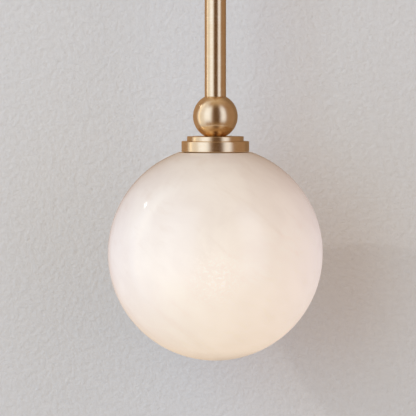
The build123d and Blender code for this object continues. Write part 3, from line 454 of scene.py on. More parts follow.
class Graph:
    """Node tree of a material or world."""

    def __init__(self, tree: bpy.types.NodeTree) -> None:
        """Takes over a tree and clears it."""
        self.tree = tree
        tree.nodes.clear()

    def node(
        self, kind: str, settings: dict | None = None, sockets: dict | None = None
    ) -> bpy.types.Node:
        """Adds a node.

        Args:
            kind: Blender's name of the node's type.
            settings: Attributes, set before the sockets.
            sockets: Value or signal of each input, by name or number.

        Returns:
            The node.
        """
        made = self.tree.nodes.new(kind)
        for name, value in (settings or {}).items():
            setattr(made, name, value)
        for key, value in (sockets or {}).items():
            if isinstance(value, Signal):
                self.tree.links.new(value.socket, made.inputs[key])
            elif isinstance(value, tuple) and len(value) == 3 and made.inputs[key].type == "RGBA":
                made.inputs[key].default_value = (*value, 1.0)
            else:
                made.inputs[key].default_value = value
        return made

    def out(
        self, kind: str, settings: dict | None = None, sockets: dict | None = None,
        output: int | str = 0,
    ) -> Signal:
        """Adds a node and gives one of its outputs.

        Args:
            kind: Blender's name of the node's type.
            settings: Attributes, set before the sockets.
            sockets: Value or signal of each input.
            output: Name or number of the output.

        Returns:
            The output's signal.
        """
        return Signal(self, self.node(kind, settings, sockets).outputs[output])

    def math(self, operation: str, *values: Number) -> Signal:
        """Math node of one, two or three values."""
        return self.out("ShaderNodeMath", {"operation": operation}, dict(enumerate(values)))

    def vector(self, operation: str, *values, output: int = 0) -> Signal:
        """Vector Math node; output 1 is its value, as of a dot product."""
        sockets = dict(enumerate(values))
        return self.out("ShaderNodeVectorMath", {"operation": operation}, sockets, output)

    def mix(self, factor: Number, first: Signal | Colour, second: Signal | Colour) -> Signal:
        """Colour between two, by a factor from 0 to 1."""
        return self.out("ShaderNodeMix", {"data_type": "RGBA"}, {0: factor, 6: first, 7: second}, 2)

    def place(self) -> Signal:
        """Place on the object, in metres."""
        return self.out("ShaderNodeTexCoord", output="Object")

    def axes(self, vector: Signal) -> tuple[Signal, Signal, Signal]:
        """X, Y and Z of a vector."""
        parts = self.node("ShaderNodeSeparateXYZ", sockets={0: vector})
        return tuple(Signal(self, parts.outputs[i]) for i in range(3))

    def joined(self, x: Number, y: Number, z: Number) -> Signal:
        """Vector of three values."""
        return self.out("ShaderNodeCombineXYZ", sockets={0: x, 1: y, 2: z})

    def noise(
        self, vector: Signal, scale: float, detail: float = 2.0, rough: float = 0.5,
        warp: float = 0.0,
    ) -> Signal:
        """Noise from 0 to 1.

        Args:
            vector: Place to read it at.
            scale: Bumps per metre, or per unit of the vector.
            detail: Octaves.
            rough: Share of each further octave.
            warp: Distortion.

        Returns:
            The noise's value.
        """
        sockets = {"Vector": vector, "Scale": scale, "Detail": detail}
        sockets |= {"Roughness": rough, "Distortion": warp}
        return self.out("ShaderNodeTexNoise", sockets=sockets)

    def bump(self, height: Signal, strength: float, distance: float) -> Signal:
        """Normal of a bumpy surface, its height given in shares of distance."""
        sockets = {"Height": height, "Strength": strength, "Distance": distance}
        return self.out("ShaderNodeBump", sockets=sockets, output="Normal")

    def along(self, spindle: Spindle) -> tuple[Signal, Signal]:
        """Radius and height of the place about a spindle.

        Args:
            spindle: The axis.

        Returns:
            Distance from the axis and height along it, in metres.
        """
        off = self.vector("SUBTRACT", self.place(), spindle.foot)
        height = self.vector("DOT_PRODUCT", off, spindle.along, output=1)
        length = self.vector("LENGTH", off, output=1)
        square = self.math("MAXIMUM", length * length - height * height, 0.0)
        return self.math("SQRT", square), height

    def surface(self, shader: Signal) -> None:
        """Ends the tree in this shader."""
        self.node("ShaderNodeOutputMaterial", sockets={"Surface": shader})

    def principled(self, **sockets) -> Signal:
        """Principled shader; underscores in names stand for spaces."""
        named = {name.replace("_", " "): value for name, value in sockets.items()}
        return self.out("ShaderNodeBsdfPrincipled", sockets=named, output="BSDF")


# ------------------------------------------------------------------ finishes
@dataclass(frozen=True)
class Finish(ABC):
    """Surface of a piece.

    Attributes:
        slot: Material slot of the record that it belongs to; not used by this script.
    """

    slot: str

    @abstractmethod
    def shader(self, graph: Graph) -> Signal:
        """Builds the surface's shader."""

    def material(self, name: str) -> bpy.types.Material:
        """Material of this finish under a name."""
        made = bpy.data.materials.new(name)
        made.use_nodes = True
        graph = Graph(made.node_tree)
        graph.surface(self.shader(graph))
        return made


@dataclass(frozen=True)
class BrushedBrass(Finish):
    """Lacquered brass, brushed on the lathe.

    Attributes:
        spindle: Axis that it was turned about.
        tone: Colour of the metal, linear.
        pale: Colour where it is worn or catches haze, linear.
        rough: Roughness between the lines.
        lines: Brush lines per metre.
    """

    spindle: Spindle
    tone: Colour = (0.79, 0.58, 0.345)
    pale: Colour = (0.84, 0.66, 0.44)
    rough: float = 0.185
    lines: float = 5200.0

    def shader(self, graph: Graph) -> Signal:
        """Metal under a thin lacquer, with fine lines round the spindle."""
        radius, height = graph.along(self.spindle)
        track = graph.joined(height, radius, 0.0)
        fine = graph.noise(track, self.lines, 3.0, 0.6)
        broad = graph.noise(track, self.lines / 9, 2.0, 0.5)
        cloud = graph.noise(graph.place(), 160.0, 3.0, 0.55, 0.4)
        haze = (fine * 0.45 + broad * 0.25 + cloud * 0.5).smooth(0.45, 0.85)
        return graph.principled(
            Base_Color=graph.mix(haze, self.tone, self.pale),
            Metallic=1.0,
            Roughness=self.rough + fine * 0.07 + (cloud - 0.5) * 0.08,
            Normal=graph.bump(fine * 0.6 + broad * 0.4, 0.32, 0.00004),
            Coat_Weight=0.3,
            Coat_IOR=1.5,
            Coat_Roughness=0.14,
        )


@dataclass(frozen=True)
class Metal(Finish):
    """Plain metal of fasteners and fittings.

    Attributes:
        tone: Colour, linear.
        stain: Colour of its darker patches, linear.
        rough: Roughness.
        grain: Patches per metre.
    """

    tone: Colour
    stain: Colour
    rough: float = 0.34
    grain: float = 420.0

    def shader(self, graph: Graph) -> Signal:
        """Metal with dull patches and fine scratches."""
        place = graph.place()
        patch = graph.noise(place, self.grain, 4.0, 0.6, 0.3)
        drawn = graph.vector("MULTIPLY", place, (1.0, 14.0, 1.0))
        scratch = graph.noise(drawn, self.grain * 2.5, 2.0)
        return graph.principled(
            Base_Color=graph.mix(patch.smooth(0.35, 0.7), self.stain, self.tone),
            Metallic=1.0,
            Roughness=self.rough + (0.5 - patch) * 0.2,
            Normal=graph.bump(patch * 0.5 + scratch * 0.5, 0.2, 0.00005),
        )


@dataclass(frozen=True)
class Coated(Finish):
    """Painted, moulded or fired surface that isn't metal.

    Attributes:
        tone: Colour, linear.
        shade: Colour of its faint clouds, linear.
        rough: Roughness.
        coat: Weight of the glaze or gloss on top.
        bumps: Bumps per metre.
        relief: Height of the bumps, in metres.
    """

    tone: Colour
    shade: Colour
    rough: float = 0.4
    coat: float = 0.0
    bumps: float = 700.0
    relief: float = 0.00003

    def shader(self, graph: Graph) -> Signal:
        """Coloured ground with faint clouds and a slight relief."""
        place = graph.place()
        cloud = graph.noise(place, self.bumps * 0.3, 3.0, 0.55)
        fine = graph.noise(place, self.bumps, 3.0, 0.6)
        return graph.principled(
            Base_Color=graph.mix(cloud.smooth(0.3, 0.7), self.shade, self.tone),
            Roughness=self.rough + (fine - 0.5) * 0.12,
            Normal=graph.bump(fine, 0.35, self.relief),
            Coat_Weight=self.coat,
            Coat_Roughness=0.08,
        )


@dataclass(frozen=True)
class Alabaster(Finish):
    """Polished veined stone, which lets a little of the light behind it through; that light is
    painted on as emission, a painted glow with a painted hot spot.

    Attributes:
        centre: Centre of the globe.
        radius: Outer radius of the globe.
        tone: Colour of the clear stone, linear.
        milk: Colour of its milky clouds, linear.
        vein: Colour of its veins, linear.
        heart: Painted glow at the middle, the emission that stands in for the bulb's light through
            the stone, linear.
        side: Painted glow added towards +X, away from the window: painted shading by the room's
            light.
        low: Painted glow added towards the bottom.
        rim: Painted glow added towards the outline.
        slant: Direction across the streaks, as shares of X and Z.
        stretch: How fast the streaks change along their length, against across it.
        veined: Share of the veins' colour in a streak.
        hot_spot_drop: Depth of the painted hot spot below the middle, in radii.
        hot_spot_halo: Fall-off and strength of the painted hot spot's even glow.
        hot_spot_grains: Fall-off and strength of the painted sparkle of lit grains in the hot spot.
    """

    centre: tuple[float, float, float]
    radius: float
    tone: Colour = (0.785, 0.735, 0.70)
    milk: Colour = (0.83, 0.79, 0.75)
    vein: Colour = (0.71, 0.62, 0.55)
    heart: Colour = (0.200, 0.150, 0.078)
    side: Colour = (0.128, 0.125, 0.128)
    low: Colour = (0.262, 0.238, 0.205)
    rim: Colour = (0.060, 0.080, 0.140)
    slant: tuple[float, float] = (0.62, 0.79)
    stretch: float = 0.12
    veined: float = 0.26
    hot_spot_drop: float = 0.17
    hot_spot_halo: tuple[float, float] = (9.0, 0.04)
    hot_spot_grains: tuple[float, float] = (26.0, 0.17)

    def shader(self, graph: Graph) -> Signal:
        """Cloudy stone with fine slanting streaks and glassy grains, with the light inside it
        painted as a glow in the emission.
        """
        off = graph.vector("SUBTRACT", graph.place(), self.centre)
        x, y, z = graph.axes(off)
        level, upright = self.slant
        across = x * level + z * upright
        down = (z * level - x * upright) * self.stretch
        warp = graph.noise(off, 26.0, 3.0, 0.55)
        cloud = graph.noise(off, 30.0, 4.0, 0.55, 0.5)
        track = graph.joined(across + (warp - 0.5) * 0.012, y * 0.5, down)
        streak = graph.noise(track, 130.0, 4.0, 0.6)
        grain = graph.noise(off, 430.0, 4.0, 0.7, 0.8)
        base = graph.mix(cloud.smooth(0.35, 0.68), self.tone, self.milk)
        base = graph.mix(streak.smooth(0.50, 0.75) * self.veined, base, self.vein)
        # Painted glow: emission that stands in for the bulb's light through the stone, brighter
        # towards +X, the bottom and the outline, and varied by the clouds and streaks.
        right, fall = x / self.radius, -z / self.radius
        patch = 0.94 + cloud * 0.12 + (0.5 - streak) * 0.16
        # Painted hot spot below the middle: an even painted glow plus a painted sparkle of lit
        # grains, added to the emission.
        apart = right * right + (fall - self.hot_spot_drop) * (fall - self.hot_spot_drop)
        hot_spot_halo = graph.math("EXPONENT", -apart * self.hot_spot_halo[0]) * self.hot_spot_halo[1]
        hot_spot_grains = graph.math("EXPONENT", -apart * self.hot_spot_grains[0]) * grain.smooth(0.46, 0.72)
        painted_hot_spot = hot_spot_halo + hot_spot_grains * self.hot_spot_grains[1]
        edge = right * right * (1 + right * right * 0.6) + fall * fall * 0.4
        # Dims the painted glow by up to 0.3 at the bottom pole.
        thin = 1 - fall.smooth(0.86, 1.0) * 0.3
        light = graph.joined(
            *(
                (heart + right * side + fall * low + edge * rim) * patch * thin + painted_hot_spot
                for heart, side, low, rim in zip(self.heart, self.side, self.low, self.rim)
            )
        )
        return graph.principled(
            Base_Color=base,
            Roughness=0.09 + (grain - 0.5) * 0.03 + streak * 0.03,
            IOR=1.5,
            Normal=graph.bump(cloud * 0.6 + streak * 0.4, 0.06, 0.0001),
            Emission_Color=light,
            Emission_Strength=1.0,
        )


@dataclass(frozen=True)
class Glass(Finish):
    """Frosted bulb glass, which glows as a whole.

    Attributes:
        tone: Colour, linear.
        glow: Colour of its light, linear.
        power: Brightness of its light.
    """

    tone: Colour
    glow: Colour
    power: float

    def shader(self, graph: Graph) -> Signal:
        """Etched glass with an even glow."""
        etch = graph.noise(graph.place(), 2600.0, 2.0, 0.6)
        return graph.principled(
            Base_Color=graph.mix(etch, self.tone, tuple(0.92 * part for part in self.tone)),
            Roughness=0.42 + etch * 0.2,
            Normal=graph.bump(etch, 0.15, 0.00003),
            Emission_Color=self.glow,
            Emission_Strength=self.power,
        )


# ------------------------------------------------------------------ pieces
def placed(name: str, data: bpy.types.ID) -> bpy.types.Object:
    """New object of the scene, at the origin."""
    made = bpy.data.objects.new(name, data)
    bpy.context.scene.collection.objects.link(made)
    return made


@dataclass(frozen=True)
class Piece:
    """One finished piece of the fitting.

    Attributes:
        name: Name of its object.
        body: Body that it rides on.
        finish: Its surface.
        nodes: CAD nodes that it stands for.
    """

    name: str
    body: Body
    finish: Finish
    nodes: tuple[str, ...]

    def put(self, shape: Surface | bpy.types.Mesh) -> bpy.types.Object:
        """Adds the piece to the scene.

        Args:
            shape: Its surface, or a mesh that is finished already.

        Returns:
            The new object, at the origin.
        """
        mesh = finished(shape.mesh(self.name)) if isinstance(shape, Surface) else shape
        mesh.name = self.name
        mesh.materials.append(self.finish.material(self.name))
        made = placed(self.name, mesh)
        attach(made, self.body.value)
        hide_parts(*self.nodes)
        LOG.info("%s: %d faces on %s", self.name, len(mesh.polygons), self.body.value)
        return made


@dataclass(frozen=True)
class Copied:
    """CAD node that is shown as a merged, smoothed copy of itself.

    Attributes:
        node: The node's name.
        body: Body that it rides on.
        finish: Its surface.
    """

    node: str
    body: Body
    finish: Finish

    def put(self) -> bpy.types.Object:
        """Adds the copy to the scene."""
        piece = Piece(f"{self.node}_piece", self.body, self.finish, (self.node,))
        return piece.put(node_copy(self.node))


WALL_SPINDLE = Spindle((0.0, 0.0, 0.0), (0.0, -1.0, 0.0), (1.0, 0.0, 0.0))
ROD_Y = NodeBox.of("drop_rod").centre.y
ROD_SPINDLE = Spindle((0.0, ROD_Y, 0.0), (0.0, 0.0, 1.0), (1.0, 0.0, 0.0))

ARM_BRASS = BrushedBrass("brushed_brass", WALL_SPINDLE)
ROD_BRASS = BrushedBrass("brushed_brass", ROD_SPINDLE)
PLAIN_BRASS = Metal("plain_brass", (0.78, 0.58, 0.31), (0.62, 0.43, 0.20), 0.30)
ZINC = Metal("zinc_steel", (0.66, 0.66, 0.63), (0.50, 0.50, 0.48), 0.36)
STEEL = Metal("hard_steel", (0.47, 0.47, 0.48), (0.36, 0.36, 0.37), 0.30)
SHELL_METAL = Metal("screw_shell_metal", (0.74, 0.72, 0.68), (0.60, 0.58, 0.53), 0.28)
SOLDER = Metal("solder", (0.60, 0.60, 0.58), (0.45, 0.45, 0.44), 0.45)
GREEN_PAINT = Coated("green_screw", (0.055, 0.33, 0.115), (0.04, 0.25, 0.085), 0.35, 0.4)
SLIP = Coated("slip_washer", (0.86, 0.85, 0.80), (0.80, 0.79, 0.74), 0.45)
BLACK_LEAD = Coated("black_lead", (0.03, 0.03, 0.03), (0.02, 0.02, 0.02), 0.42, 0.2)
WHITE_LEAD = Coated("white_lead", (0.80, 0.80, 0.78), (0.74, 0.74, 0.71), 0.42, 0.2)
GREEN_LEAD = Coated("green_lead", (0.05, 0.34, 0.10), (0.04, 0.27, 0.08), 0.42, 0.2)
ORANGE_PLASTIC = Coated("connector_plastic", (0.82, 0.35, 0.05), (0.74, 0.30, 0.04), 0.38, 0.2)
PORCELAIN = Coated("porcelain", (0.86, 0.84, 0.79), (0.82, 0.80, 0.75), 0.30, 0.6, 260.0)
SILICONE = Coated("silicone", (0.85, 0.84, 0.82), (0.80, 0.79, 0.77), 0.55)
BLACK_GLASS = Coated("black_glass", (0.03, 0.03, 0.04), (0.02, 0.02, 0.03), 0.12, 1.0)
PIPE_THREAD = Thread(0.94 * MM, 0.42 * MM)


@dataclass
class Canopy:
    """Stepped wall cup with its cap nuts.

    Attributes:
        rim_depth: Depth of the wide tier, in metres.
        step_radius: Radius of the narrow tier.
        wall: Thickness of the sheet.
        edge: Rounding of the outer edges.
        inner_edge: Rounding of the inner ones.
        step_foot: Rounding where the narrow tier rises from the wide one.
        nut_flange: Radius and thickness of a cap nut's flange.
        nut_radius: Radius of a cap nut's head.
        nut_bore: Radius and depth of its thread.
        nut_edge: Rounding of its flange's upper edge.
        columns: Points round the axis.
        box: Extent of the CAD cup.
    """

    rim_depth: float = 14.0 * MM
    step_radius: float = 48.0 * MM
    wall: float = 1.6 * MM
    edge: float = 0.9 * MM
    inner_edge: float = 0.3 * MM
    step_foot: float = 0.5 * MM
    nut_flange: tuple[float, float] = (5.5 * MM, 1.4 * MM)
    nut_radius: float = 4.8 * MM
    nut_bore: tuple[float, float] = (2.1 * MM, 5.0 * MM)
    nut_edge: float = 0.35 * MM
    columns: int = 256
    box: NodeBox = field(default_factory=lambda: NodeBox.of("canopy"))

    def build(self) -> None:
        """Adds the cup and its nuts."""
        Piece("wall_canopy", Body.WALL, ARM_BRASS, ("canopy",)).put(self.cup())
        nuts = self.nut(-1) + self.nut(1)
        Piece("cap_nuts", Body.WALL, ARM_BRASS, ("canopy_cap_nuts",)).put(nuts)

    def cup(self) -> Surface:
        """The spun cup, a closed half-section turned about the arm's axis."""
        rim, front, wall, edge = self.box.high.x, -self.box.low.y, self.wall, self.edge
        step, ledge, inner = self.step_radius, self.rim_depth, self.inner_edge
        profile = rounded(
            [
                (NIPPLE_HOLE, front - wall, 0),
                (step - wall, front - wall, inner),
                (step - wall, ledge - wall, inner),
                (rim - wall, ledge - wall, inner),
                (rim - wall, 0.0, BACK_EDGE),
                (rim, 0.0, BACK_EDGE),
                (rim, ledge, edge),
                (step, ledge, self.step_foot),
                (step, front, edge),
                (NIPPLE_HOLE, front, BACK_EDGE),
                (NIPPLE_HOLE, front - wall, 0),
            ]
        )
        return turned(WALL_SPINDLE, profile[:-1], self.columns)

    def nut(self, side: int) -> Surface:
        """Cap nut of one side: a flange, a short neck and a round head, bored blind."""
        box = NodeBox.of("canopy_cap_nuts")
        foot, top = -box.high.y, -box.low.y
        flange, thick = self.nut_flange
        bore, depth = self.nut_bore
        shoulder = top - self.nut_radius
        hollow = [(0.0, foot + depth), (bore, foot + depth), (bore, foot)]
        brim = rounded(
            [
                (bore, foot, 0),
                (flange, foot, BACK_EDGE),
                (flange, foot + thick, self.nut_edge),
                (self.nut_radius, foot + thick, FOOT_EDGE),
                (self.nut_radius, shoulder, 0),
            ]
        )
        head = arc(shoulder, self.nut_radius, pi / 2, 0, 16)
        profile = np.vstack([hollow, brim[1:-1], head])
        spindle = WALL_SPINDLE.shifted(side * (box.high.x - flange))
        return turned(spindle, profile, 64, closed=False)


@dataclass
class Fasteners:
    """Bar, screws, studs, nuts and washers behind the canopy.

    Attributes:
        stud_x: Distance of each stud from the middle.
        stud_thread: Thread of the studs.
        nut_flats: Width over flats of the lock nuts.
        bores: Radius of a lock nut's thread and of a washer's hole.
        teeth: Number of teeth of a lock washer and their depth.
        tooth_root: Width of the washer's ring that the teeth leave flat.
        tooth_twist: Height that a tooth is twisted by, as a share of the washer's.
        stock: Space above and below the flat ring, as such a share.
        stud_bevel: Width of a stud's bevels.
        screw: Radius of the earth screw's tip, radius of its shank and length of the taper.
        screw_head: Height of its head.
    """

    stud_x: float = 35.0 * MM
    stud_thread: Thread = Thread(0.79 * MM, 0.34 * MM)
    nut_flats: float = 14.2 * MM
    bores: tuple[float, float] = (4.9 * MM, NIPPLE_HOLE)
    teeth: tuple[int, float] = (14, 1.3 * MM)
    tooth_root: float = 0.4 * MM
    tooth_twist: float = 0.22
    stock: float = 0.24
    stud_bevel: float = 0.4 * MM
    screw: tuple[float, float, float] = (1.9 * MM, 2.3 * MM, 0.5 * MM)
    screw_head: float = 3.0 * MM

    def build(self) -> None:
        """Adds the hidden fasteners of the wall side."""
        Copied("mounting_bar", Body.WALL, ZINC).put()
        Copied("ground_lug", Body.WALL, PLAIN_BRASS).put()
        self.put_studs()
        self.put_ground_screw()
        self.put_nut("arm_lock_nut", Body.WALL, WALL_SPINDLE)
        self.put_washer("arm_lock_washer", Body.WALL, WALL_SPINDLE)

    def put_studs(self) -> None:
        """Threaded studs and the small nuts that lock them."""
        box, nuts = NodeBox.of("canopy_studs"), NodeBox.of("stud_nuts")
        radius, end, bevel = box.size.z / 2, -box.low.y, self.stud_bevel
        foot = np.array([(0.0, 0.0), (radius - bevel, 0.0)])
        tip = np.array([(radius - bevel, end), (0.0, end)])
        left, right = (WALL_SPINDLE.shifted(side * self.stud_x) for side in (-1, 1))
        rods = [
            threaded(spindle, foot, radius, bevel, end - bevel, tip, self.stud_thread, 40)
            for spindle in (left, right)
        ]
        locks = [
            hex_nut(spindle, nuts.size.z, radius, -nuts.high.y, -nuts.low.y)
            for spindle in (left, right)
        ]
        Piece("studs", Body.WALL, ZINC, ("canopy_studs",)).put(rods[0] + rods[1])
        Piece("stud_lock_nuts", Body.WALL, ZINC, ("stud_nuts",)).put(locks[0] + locks[1])

    def put_ground_screw(self) -> None:
        """Earth screw: a tapered tip, a plain shank and a hexagon head."""
        box = NodeBox.of("ground_screw")
        spindle = WALL_SPINDLE.shifted(box.centre.x)
        top, flats = -box.low.y, box.size.z
        under = top - self.screw_head
        tip, full, taper = self.screw
        profile = np.array([(0.0, 0.0), (tip, 0.0), (full, taper), (full, under), (0.0, under)])
        shank = turned(spindle, profile, 48, closed=False)
        head = hex_nut(spindle, flats, 0.0, under, top, (False, True))
        Piece("earth_screw", Body.WALL, GREEN_PAINT, ("ground_screw",)).put(shank + head)

    def put_nut(self, node: str, body: Body, spindle: Spindle) -> None:
        """Thin hexagon nut of a hollow nipple."""
        low, high = spindle.reach(node)
        shape = hex_nut(spindle, self.nut_flats, self.bores[0], low, high)
        Piece(f"{node}_piece", body, STEEL, (node,)).put(shape)

    def put_washer(self, node: str, body: Body, spindle: Spindle) -> None:
        """Toothed washer: its rim's radius dips teeth times round and each tooth is twisted."""
        low, high = spindle.reach(node)
        outer, hole = NodeBox.of(node).size.x / 2, self.bores[1]
        count, depth = self.teeth
        turn = np.arange(count * 16)[None] * 2 * pi / (count * 16)
        wave = 0.5 - 0.5 * np.cos(count * turn)
        gap = np.clip(wave * 3 - 1.6, 0, 1)
        toothed = np.array([0, 0, 0, 1, 1, 0])[:, None]
        twist = self.tooth_twist * (high - low) * np.sin(count * turn) * toothed
        ring = outer - depth - self.tooth_root
        space = (high - low) * self.stock
        under, over = low + space, high - space
        radii = np.array([hole, hole, ring, outer, outer, ring])[:, None] - gap * depth * toothed
        levels = np.array([under, over, over, over, under, under])[:, None] + twist
        shape = Surface.grid(spindle.points(radii, levels, turn), closed=True)
        Piece(f"{node}_piece", body, STEEL, (node,)).put(shape)


@dataclass
class Arm:
    """Wall arm with its stepped collar and nipple.

    Attributes:
        collar_steps: Height of the collar's wide step and radius of its narrow one.
        collar_edge: Rounding of the collar's edges.
        tube_wall: Wall of the arm's tube.
        tube_edge: Rounding of the tube's ends.
    """

    collar_steps: tuple[float, float] = (5.0 * MM, 13.0 * MM)
    collar_edge: float = 0.6 * MM
    tube_wall: float = 1.6 * MM
    tube_edge: float = 0.3 * MM

    def build(self) -> None:
        """Adds the arm's pieces."""
        Piece("collar", Body.WALL, ARM_BRASS, ("arm_collar",)).put(self.collar())
        Piece("arm", Body.WALL, ARM_BRASS, ("arm_tube",)).put(
            tube(WALL_SPINDLE, "arm_tube", self.tube_wall, self.tube_edge)
        )
        Copied("arm_bushing", Body.WALL, PLAIN_BRASS).put()
        Piece("arm_nipple_piece", Body.WALL, PLAIN_BRASS, ("arm_nipple",)).put(
            nipple(WALL_SPINDLE, "arm_nipple")
        )

    def collar(self) -> Surface:
        """Two turned steps with eased edges."""
        box = NodeBox.of("arm_collar")
        low, high, wide = -box.high.y, -box.low.y, box.high.x
        (step, narrow), edge = self.collar_steps, self.collar_edge
        profile = rounded(
            [
                (NIPPLE_HOLE, low, 0),
                (wide, low, BACK_EDGE),
                (wide, low + step, edge),
                (narrow, low + step, FOOT_EDGE),
                (narrow, high, edge),
                (NIPPLE_HOLE, high, BACK_EDGE),
                (NIPPLE_HOLE, low, 0),
            ]
        )
        return turned(WALL_SPINDLE, profile[:-1], 160)


def tube(spindle: Spindle, node: str, wall: float, edge: float, columns: int = 128) -> Surface:
    """Straight tube as long and as wide as a CAD node.

    Args:
        spindle: Axis of the tube.
        node: The node that it stands for.
        wall: Thickness of its wall.
        edge: Rounding of its outer edges.
        columns: Points round the axis.

    Returns:
        The closed surface.
    """
    low, high = spindle.reach(node)
    outer = NodeBox.of(node).size.x / 2
    inner = outer - wall
    skin = [(outer, low, edge), (outer, high, edge)]
    profile = rounded([(inner, low, 0), *skin, (inner, high, 0), (inner, low, 0)])
    return turned(spindle, profile[:-1], columns)


def nipple(spindle: Spindle, node: str) -> Surface:
    """Hollow nipple with a fine thread over its whole length.

    Args:
        spindle: Axis of the nipple.
        node: The node that it stands for.

    Returns:
        The closed surface.
    """
    low, high = spindle.reach(node)
    outer, bevel = NodeBox.of(node).size.x / 2, NIPPLE_BEVEL
    before = np.array([(NIPPLE_BORE, high), (NIPPLE_BORE, low), (outer - bevel, low)])
    after = np.array([(outer - bevel, high)])
    return threaded(spindle, before, outer, low + bevel, high - bevel, after, PIPE_THREAD)


@dataclass
class Elbow:
    """Swivel ball on its journal, with washers, pin and domed cap.

    Attributes:
        dome: Rise of the cap's dome.
        cap_bore: Radius and depth of the cap's thread.
        cap_edge: Rounding of the cap's back edge.
    """

    dome: float = 4.6 * MM
    cap_bore: tuple[float, float] = (4.05 * MM, 4.8 * MM)
    cap_edge: float = 0.25 * MM

    def build(self) -> None:
        """Adds the elbow's pieces."""
        Copied("swivel_ball", Body.PENDANT, ARM_BRASS).put()
        Piece("swivel_dome", Body.WALL, ARM_BRASS, ("swivel_cap",)).put(self.cap())
        Copied("swivel_washers", Body.WALL, SLIP).put()
        Copied("swivel_spigot", Body.WALL, PLAIN_BRASS).put()
        Copied("stop_pin", Body.WALL, STEEL).put()
        Piece("upper_nipple_piece", Body.PENDANT, PLAIN_BRASS, ("upper_nipple",)).put(
            nipple(ROD_SPINDLE, "upper_nipple")
        )

    def cap(self) -> Surface:
        """Domed nut: a short rim under a spherical cap, tapped from the back."""
        box = NodeBox.of("swivel_cap")
        low, high, outer = -box.high.y, -box.low.y, box.high.x
        bore, depth = self.cap_bore
        shoulder = high - self.dome
        sphere = (outer**2 + self.dome**2) / (2 * self.dome)
        head = arc(high - sphere, sphere, asin(outer / sphere), 0, 20)
        foot = rounded([(bore, low, 0), (outer, low, self.cap_edge), (outer, shoulder, 0)])
        profile = np.vstack([[(0.0, low + depth), (bore, low + depth)], foot[:-1], head])
        return turned(WALL_SPINDLE, profile, 96, closed=False)


@dataclass
class Pendant:
    """Drop rod with the ball at its foot.

    Attributes:
        wall: Wall of the rod.
        edge: Rounding of the rod's ends.
        ball_bore: Radius of the ball's through bore.
        ball_foot: Radius of the flat that the ball stands on.
    """

    wall: float = 1.6 * MM
    edge: float = 0.25 * MM
    ball_bore: float = 4.9 * MM
    ball_foot: float = 7.2 * MM

    def build(self) -> None:
        """Adds the rod, its bushings and the lower ball."""
        Piece("rod", Body.PENDANT, ROD_BRASS, ("drop_rod",)).put(
            tube(ROD_SPINDLE, "drop_rod", self.wall, self.edge, 192)
        )
        Copied("rod_bushings", Body.PENDANT, PLAIN_BRASS).put()
        Piece("ball", Body.PENDANT, ROD_BRASS, ("lower_ball",)).put(self.ball())
        Piece("through_nipple_piece", Body.PENDANT, PLAIN_BRASS, ("through_nipple",)).put(
            nipple(ROD_SPINDLE, "through_nipple")
        )

    def ball(self) -> Surface:
        """Turned ball between the rod's end and the fitter."""
        box = NodeBox.of("lower_ball")
        radius = box.size.x / 2
        centre = box.low.z + sqrt(radius**2 - self.ball_foot**2)
        top = NodeBox.of("drop_rod").size.x / 2
        skin = arc(centre, radius, asin(top / radius), pi - asin(self.ball_foot / radius), 96)
        profile = np.vstack([[(self.ball_bore, box.high.z)], skin, [(self.ball_bore, box.low.z)]])
        return turned(ROD_SPINDLE, profile, 192)


@dataclass
class Fitter:
    """Stepped fitter over the globe: cap, threaded ring, washer and nut.

    Attributes:
        cap_edge: Rounding of the cap's upper edge.
        cap_foot: Rounding of its lower edge.
        ring_edge: Rounding of the ring's edges.
        web: Thickness of the ring's web.
        rim: Thickness of the rim round the gasket.
        thread_radius: Radius of the thread's root.
        thread: Thread for the globe's collar.
    """

    cap_edge: float = 0.5 * MM
    cap_foot: float = 0.15 * MM
    ring_edge: float = 0.6 * MM
    web: float = 1.6 * MM
    rim: float = 1.3 * MM
    thread_radius: float = 18.8 * MM
    thread: Thread = Thread(2.0 * MM, -0.24 * MM, 0.3)

    def build(self) -> None:
        """Adds the fitter's pieces."""
        Piece("fitter_cap_piece", Body.PENDANT, ROD_BRASS, ("fitter_cap",)).put(self.cap())
        Piece("fitter_ring_piece", Body.PENDANT, ROD_BRASS, ("fitter_ring",)).put(self.ring())
        hardware = Fasteners()
        hardware.put_washer("fitter_washer", Body.PENDANT, ROD_SPINDLE)
        hardware.put_nut("fitter_nut", Body.PENDANT, ROD_SPINDLE)

    def cap(self) -> Surface:
        """Flat disc with an eased upper edge."""
        box = NodeBox.of("fitter_cap")
        outer, low, high, hole = box.size.x / 2, box.low.z, box.high.z, NIPPLE_HOLE
        skin = [(outer, low, self.cap_foot), (outer, high, self.cap_edge)]
        profile = rounded([(hole, low, 0), *skin, (hole, high, 0), (hole, low, 0)])
        return turned(ROD_SPINDLE, profile[:-1], 192)

    def ring(self) -> Surface:
        """Cup with a web on top, a coarse thread inside and a recess for the gasket."""
        box = NodeBox.of("fitter_ring")
        outer, low, high = box.size.x / 2, box.low.z, box.high.z
        under = high - self.web
        ledge = NodeBox.of("globe_gasket").high.z
        before = rounded(
            [
                (NIPPLE_HOLE, under, 0),
                (NIPPLE_HOLE, high, 0),
                (outer, high, self.ring_edge),
                (outer, low, self.ring_edge),
                (outer - self.rim, low, BACK_EDGE),
                (outer - self.rim, ledge, 0),
                (self.thread_radius, ledge, 0),
            ]
        )
        after = np.array([(self.thread_radius, under)])
        return threaded(
            ROD_SPINDLE, before[:-1], self.thread_radius, ledge, under, after, self.thread, 192
        )


@dataclass
class Socket:
    """Lamp socket on its yoke inside the globe."""

    def build(self) -> None:
        """Adds yoke, rivets, porcelain body, screw shell and contact."""
        for node, finish in (
            ("socket_yoke", ZINC),
            ("socket_rivets", ZINC),
            ("socket_body", PORCELAIN),
            ("socket_shell", SHELL_METAL),
            ("socket_contact", PLAIN_BRASS),
        ):
            Copied(node, Body.PENDANT, finish).put()


